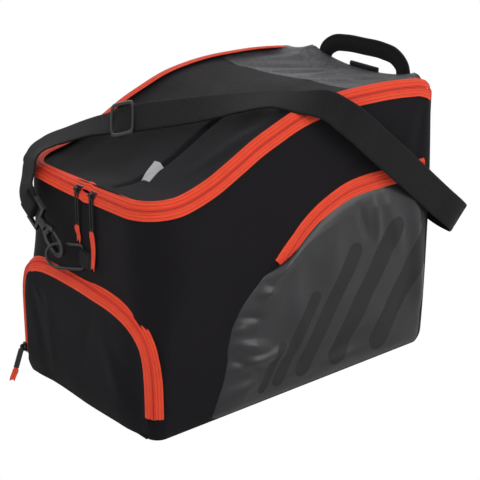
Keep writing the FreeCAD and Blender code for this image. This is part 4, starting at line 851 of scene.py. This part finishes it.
# The strap's middle line and the direction across it, from the front hook to the rear one.
STRAP = [
    ((-0.2250, 0.0740, 0.2270), (0.000, 0.545, -0.839)), ((-0.2230, 0.0800, 0.2400), (0.020, 0.700, -0.700)),
    ((-0.2175, 0.0830, 0.2550), (0.120, 0.900, -0.420)), ((-0.2120, 0.0860, 0.2680), (0.220, 0.940, -0.220)),
    ((-0.2020, 0.0900, 0.2745), (0.450, 0.880, 0.000)), ((-0.1840, 0.0920, 0.2810), (0.600, 0.790, 0.100)),
    ((-0.1620, 0.0860, 0.2865), (0.680, 0.710, 0.180)), ((-0.1380, 0.0740, 0.2935), (0.700, 0.640, 0.300)),
    ((-0.1230, 0.0590, 0.2985), (0.660, 0.600, 0.440)), ((-0.1107, 0.0463, 0.3032), (0.580, 0.530, 0.610)),
    ((-0.0893, 0.0101, 0.3132), (0.580, 0.530, 0.610)), ((-0.0741, -0.0134, 0.3193), (0.600, 0.550, 0.580)),
    ((-0.0517, -0.0370, 0.3255), (0.650, 0.600, 0.470)), ((-0.0310, -0.0600, 0.3320), (0.690, 0.650, 0.330)),
    ((-0.0100, -0.0880, 0.3380), (0.700, 0.660, 0.260)), ((0.0060, -0.1120, 0.3365), (0.680, 0.600, 0.420)),
    ((0.0250, -0.1290, 0.3335), (0.660, 0.420, 0.620)), ((0.0480, -0.1380, 0.3170), (0.640, 0.150, 0.750)),
    ((0.1020, -0.1400, 0.2720), (0.640, 0.000, 0.770)), ((0.1540, -0.1390, 0.2285), (0.640, 0.000, 0.770)),
    ((0.2030, -0.1370, 0.1870), (0.640, 0.000, 0.770)), ((0.2380, -0.1350, 0.1580), (0.640, 0.000, 0.770)),
    ((0.2455, -0.1290, 0.1525), (0.620, -0.100, 0.780)), ((0.2420, -0.1130, 0.1560), (0.450, -0.250, 0.820)),
    ((0.2300, -0.0760, 0.1740), (0.100, -0.400, 0.860)), ((0.2215, -0.0360, 0.1990), (0.000, -0.500, 0.866)),
]
strap_line = through([np.concatenate(pair) for pair in STRAP], 601)
strap_mid, strap_side = strap_line[:, :3], strap_line[:, 3:]
strap_along = unit(np.gradient(strap_mid, axis=0))
strap_side = unit(strap_side - np.sum(strap_side * strap_along, -1, keepdims=True) * strap_along)
strap_up = np.cross(strap_along, strap_side)
strap_widths = np.array([-19.0, -18.4, -16, -11, -5.5, 0, 5.5, 11, 16, 18.4, 19.0]) / 1000
strap_lifts = np.array([0.4, 1.0, 1.2, 1.1, 1.2, 1.1, 1.2, 1.1, 1.2, 1.0, 0.4]) / 1000


def both_faces(middle, sideways, up, widths, lifts):
    """Two grids of a band's faces: the middle line plus widths sideways, then plus and minus lifts."""
    flat = middle[:, None] + sideways[:, None] * widths[None, :, None]
    swell = up[:, None] * lifts[None, :, None]
    return flat + swell, flat - swell


strap_grid, strap_back = both_faces(strap_mid, strap_side, strap_up, strap_widths, strap_lifts)
cut = int(np.argmin(np.linalg.norm(strap_mid - np.array(STRAP[7][0]), axis=-1)))
strap_parts = []
for name, span in (("strap_over_corner", slice(0, cut + 1)), ("strap_over_side", slice(cut, None))):
    strap_parts.append(slab(name, strap_grid[span], 0, webbing.material, inner=strap_back[span]))
    run = float(run_along(strap_mid[span])[-1])
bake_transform(strap_parts[0])
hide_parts("strap_front")
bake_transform(strap_parts[1])
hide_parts("strap_middle", "strap_side", "strap_back")


# ---- Grab handle
# Folded and padded webbing, arched between two sewn anchors behind the rear edge.

HANDLE = [(0.2085, -0.0640, 0.3030), (0.2088, -0.0642, 0.3180), (0.2092, -0.0610, 0.3310),
          (0.2095, -0.0490, 0.3405), (0.2098, -0.0280, 0.3440), (0.2100, 0.0040, 0.3435),
          (0.2098, 0.0340, 0.3420), (0.2095, 0.0560, 0.3375), (0.2090, 0.0690, 0.3270),
          (0.2086, 0.0720, 0.3140), (0.2085, 0.0720, 0.3030)]
handle_line = through(HANDLE, 160)
handle_along = unit(np.gradient(handle_line, axis=0))
handle_wide = unit(np.cross(handle_along, rearward))
handle_face = np.cross(handle_wide, handle_along)
handle_widths = np.array([-10.5, -10.2, -9.2, -7.6, -4, 0, 4, 7.6, 9.2, 10.2, 10.5]) / 1000
handle_lifts = np.array([0.6, 1.5, 2.0, 1.6, 2.6, 2.9, 2.6, 1.6, 2.0, 1.5, 0.6]) / 1000
handle_outer, handle_inner = both_faces(handle_line, handle_wide, handle_face, handle_widths, handle_lifts)
handle = slab("handle_arch", handle_outer[::-1], 0, webbing.material, inner=handle_inner[::-1])
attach(handle, "handle")
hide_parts("grab_handle")


# ---- Hardware
# Snap hooks and sliders of moulded black acetal, rings of dark steel wire and pull cords of black
# braid. Their solids stay as they are and only take a finish, by their material slot.

acetal = Finish("black_acetal", Specular_IOR_Level=0.35)
acetal.set("Base Color", acetal.blend(
    acetal.noise(120.0), (0.0055, 0.0055, 0.0060, 1), (0.0110, 0.0110, 0.0120, 1)))
acetal.set("Roughness", 0.32 + acetal.noise(220.0) * 0.16)
acetal.bump(acetal.noise(1500.0), 0.0002, 0.3)
steel = Finish("dark_steel", Metallic=0.6)
steel.set("Base Color", steel.blend(
    steel.noise(200.0), (0.020, 0.020, 0.021, 1), (0.045, 0.045, 0.048, 1)))
steel.set("Roughness", 0.28 + steel.noise(400.0) * 0.15)
cord_black = Finish("black_cord", Roughness=0.6, Specular_IOR_Level=0.2)
cord_black.set("Base Color", cord_black.blend(
    cord_black.noise(600.0), (0.008, 0.008, 0.009, 1), (0.022, 0.022, 0.023, 1)))
cord_black.bump(cord_black.noise(1200.0), 0.0004, 0.6)
slot_finish = {"hardware": acetal, "slider": acetal, "wire": steel, "cord": cord_black}
slot_of = {row["node"]: row["material_slot"] for row in frame["record"]["subparts"]}
for name, item in frame["nodes"].items():
    if slot_of[name] in slot_finish:
        item.data.materials.clear()
        item.data.materials.append(slot_finish[slot_of[name]].material)


# ---- Strap adjuster
# A moulded slide: a four-sided frame that lies on the webbing and a bar under it, with the strap
# between the two. Both sit on the strap's line and tilt with it.

SLIDE_LENGTH = 0.0125
SLIDE_WIDTH = 0.0222
SLIDE_NEAR = np.array([-0.1140, 0.0500, 0.3015])
SLIDE_LIFT = 0.0024
SLIDE_WIRE = 0.0015
SLIDE_RIM = 0.0022
SLIDE_REACH = 0.0180
SQUARENESS = 0.35
BAR_DROP = 0.0042
BAR_HALF = 0.0026
BAR_THICKNESS = 0.0020

bar_at = int(np.argmin(np.linalg.norm(strap_mid - SLIDE_NEAR, axis=-1)))
slide_mid, slide_along = strap_mid[bar_at] + strap_up[bar_at] * SLIDE_LIFT, strap_along[bar_at]
slide_wide, slide_up = strap_side[bar_at], strap_up[bar_at]
around = np.linspace(0, 2 * np.pi, 97)[:, None]
profile = np.linspace(0, 2 * np.pi, 13)[None, :]
reach_along = np.sign(np.cos(around)) * np.abs(np.cos(around)) ** SQUARENESS
reach_wide = np.sign(np.sin(around)) * np.abs(np.sin(around)) ** SQUARENESS
swell_out = 1 + SLIDE_RIM * np.cos(profile) / SLIDE_REACH
loop = (slide_mid + (SLIDE_LENGTH * reach_along * swell_out)[..., None] * slide_along
        + (SLIDE_WIDTH * reach_wide * swell_out)[..., None] * slide_wide
        + (SLIDE_WIRE * np.sin(profile) + 0 * around)[..., None] * slide_up)


def wrapped(name, grid, finish):
    """A closed ring from a grid whose first and last rows, and first and last columns, are the
    same points: the repeats are dropped and the faces run on round both ways."""
    rows, columns = grid.shape[0] - 1, grid.shape[1] - 1
    index = np.arange(rows * columns).reshape(rows, columns)
    down, right = np.roll(index, -1, 0), np.roll(index, -1, 1)
    faces = np.stack([index, down, np.roll(down, -1, 1), right], -1).reshape(-1, 4)
    return piece(name, grid[:-1, :-1].reshape(-1, 3), faces, finish)


slide_frame = wrapped("adjuster_frame", loop, acetal.material)
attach(slide_frame, "adjuster")
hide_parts("strap_adjuster")
bar_grid = (slide_mid - slide_up * BAR_DROP
            + np.linspace(-SLIDE_WIDTH, SLIDE_WIDTH, 14)[:, None, None] * slide_wide
            + np.linspace(-BAR_HALF, BAR_HALF, 9)[None, :, None] * slide_along)
slide_bar = slab("adjuster_bar", bar_grid, BAR_THICKNESS, acetal.material)
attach(slide_bar, "adjuster")


# ---- Tabs, folds and ribbons
# Short pieces of webbing folded round the rings and the hooks' eyes and sewn flat, the handle's two
# sewn anchors, and orange ribbons with forked ends knotted into the zip pulls.

def corners_of(node):
    """Every corner of a node's solid."""
    flat = np.empty(len(frame["nodes"][node].data.vertices) * 3)
    frame["nodes"][node].data.vertices.foreach_get("co", flat)
    return flat.reshape(-1, 3)


def spans(node, run, wide):
    """Centre, unit axes and half sizes of a node's solid along a run, a width and their normal."""
    run = unit(np.array(run, float))
    wide = unit(np.array(wide, float) - np.dot(wide, run) * run)
    axes = np.stack([run, wide, np.cross(run, wide)])
    spread = corners_of(node) @ axes.T
    low, high = spread.min(0), spread.max(0)
    return ((low + high) / 2) @ axes, axes, (high - low) / 2


STITCH_DEPTH = 0.0004
ACROSS_STITCH = (0.84, 0.05)
ALONG_STITCH = (0.72, 0.06)


def sewn_fold(name, node, body, run, wide, lengthen=1.0, widen=1.0):
    """A folded piece of webbing: two faces that swell away from each other inside a rounded
    rectangle, with a pressed line of stitches inside the edge."""
    middle, axes, half = spans(node, run, wide)
    s, w = np.linspace(-1, 1, 34)[:, None], np.linspace(-1, 1, 42)[None, :]
    edge = (1 - np.abs(s) ** 8) ** 0.25 * (1 - np.abs(w) ** 12) ** 0.25
    stitch = (np.exp(-((np.abs(w) - ACROSS_STITCH[0]) / ACROSS_STITCH[1]) ** 2)
              + np.exp(-((np.abs(s) - ALONG_STITCH[0]) / ALONG_STITCH[1]) ** 2))
    swell = half[2] * (0.30 + 0.70 * edge) - STITCH_DEPTH * np.clip(stitch, 0, 1) * edge
    across = w * half[1] * widen + 0 * s
    flat = middle + (s * half[0] * lengthen)[..., None] * axes[0] + across[..., None] * axes[1]
    puff = swell[..., None] * axes[2]
    made = slab(name, flat + puff, 0, webbing.material, inner=flat - puff)
    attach(made, body)
    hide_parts(node)


sewn_fold("front_ring_loop", "front_ring_tab", "bag", (0, 1, 0), (0, 0, 1))
sewn_fold("rear_ring_loop", "rear_ring_tab", "bag", (0, 0, 1), (0, 1, 0), 1.5, 2.3)
sewn_fold("front_fold", "front_strap_fold", "strap_end", (0, 0.839, 0.545), (0, 0.545, -0.839))
sewn_fold("rear_fold", "rear_strap_fold", "bag", (0, -0.545, -0.839), (1, 0, 0))
sewn_fold("handle_anchor_cloth_near", "handle_anchor_near", "bag", (0, 0, 1), (0, 1, 0))
sewn_fold("handle_anchor_cloth_far", "handle_anchor_far", "bag", (0, 0, 1), (0, 1, 0))


FORK_DEPTH = 0.0035
RIBBON_THICKNESS = 0.0009


def ribbon(name, node, body, run, wide, seed):
    """A flat band, pinched at its knot and forked at its free end, that bends in a slow wave along
    its run. seed is the wave's phase."""
    middle, axes, half = spans(node, run, wide)
    s, w = np.linspace(-1, 1, 60)[:, None], np.linspace(-1, 1, 15)[None, :]
    fork = np.clip(s, 0, 1) ** 6 * FORK_DEPTH * (1 - np.abs(w))
    wave = 0.0009 * np.sin(2.6 * s + seed) + 0.0007 * s * w
    pinch = 1 - 0.35 * np.exp(-((s + 1) / 0.18) ** 2)
    points = (middle + (s * half[0] - fork)[..., None] * axes[0] + (w * half[1] * pinch)[..., None] * axes[1]
              + wave[..., None] * axes[2])
    made = slab(name, points, RIBBON_THICKNESS, orange.material)
    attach(made, body)
    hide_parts(node)


ribbon("left_ribbon", "lid_ribbon_left", "left_pull", (0, 0, -1), (0, 1, 0), 0.4)
ribbon("right_ribbon", "lid_ribbon_right", "right_pull", (0, 0, -1), (0, 1, 0), 1.7)
ribbon("side_pocket_ribbon", "side_ribbon", "side_pull", (0, 0, -1), (1, 0, 0), 2.6)
spots = corners_of("pocket_ribbon")
_, _, leads = np.linalg.svd(spots - spots.mean(0), full_matrices=False)
ribbon("front_pocket_ribbon", "pocket_ribbon", "pocket_pull", leads[0] * -np.sign(leads[0][2]), leads[1], 3.1)


# ---- Studio
# Pale floor and backdrop, soft lamps, and the camera at the front near corner.


def aimed(thing, spot, target):
    """Place a camera or lamp at a spot, turned so that it looks at a target."""
    bpy.context.scene.collection.objects.link(thing)
    thing.location = spot
    thing.rotation_euler = (Vector(target) - thing.location).to_track_quat("-Z", "Y").to_euler()


camera = bpy.data.objects.new("camera", bpy.data.cameras.new("camera"))
camera.data.lens = 106.8
camera.data.sensor_width = 36
aimed(camera, (-0.975, -1.199, 0.7545), (0.00762, -0.00627, 0.1464))
bpy.context.scene.camera = camera

LAMPS = [("key_lamp", (-1.3, -1.0, 2.0), 1.6, 20), ("side_lamp", (1.1, -2.0, 1.1), 1.6, 24),
         ("front_lamp", (-2.2, 0.7, 0.9), 1.4, 5), ("rear_lamp", (0.8, 1.6, 1.8), 1.6, 18)]
for name, spot, size, power in LAMPS:
    lamp = bpy.data.lights.new(name, "AREA")
    lamp.size = size
    lamp.energy = power
    aimed(bpy.data.objects.new(name, lamp), spot, (0, 0, 0.15))

world = bpy.data.worlds.new("studio")
bpy.context.scene.world = world
world.use_nodes = True
sky = world.node_tree
rays = sky.nodes.new("ShaderNodeLightPath")
seen = rays.outputs["Is Camera Ray"]
for kind in ("Is Glossy Ray", "Is Transmission Ray"):
    either = sky.nodes.new("ShaderNodeMath")
    either.operation = "ADD"
    either.use_clamp = True
    sky.links.new(seen, either.inputs[0])
    sky.links.new(rays.outputs[kind], either.inputs[1])
    seen = either.outputs[0]
level = sky.nodes.new("ShaderNodeMix")
level.data_type = "FLOAT"
level.inputs[2].default_value = 0.35
level.inputs[3].default_value = 1.0
sky.links.new(seen, level.inputs[0])
background = sky.nodes["Background"]
background.inputs[0].default_value = (1, 1, 1, 1)
sky.links.new(level.outputs[0], background.inputs[1])

floor_points = np.array([[-6, -6, 0], [6, -6, 0], [6, 6, 0], [-6, 6, 0]], float)
paper = Finish("white_paper", Roughness=0.9)
floor = piece("studio_floor", floor_points, [(0, 1, 2, 3)], paper.material)
light_path = paper.nodes.new("ShaderNodeLightPath")
glow_shader = paper.nodes.new("ShaderNodeEmission")
glow_shader.inputs[0].default_value = (1, 1, 1, 1)
mixer = paper.nodes.new("ShaderNodeMixShader")
paper.shader.inputs["Base Color"].default_value = (0.9, 0.9, 0.9, 1)
paper.feed(mixer.inputs[0], Value(paper, light_path.outputs["Is Camera Ray"]))
paper.material.node_tree.links.new(paper.shader.outputs[0], mixer.inputs[1])
paper.material.node_tree.links.new(glow_shader.outputs[0], mixer.inputs[2])
paper.material.node_tree.links.new(mixer.outputs[0], paper.nodes["Material Output"].inputs[0])
bpy.context.scene.view_settings.view_transform = "Standard"
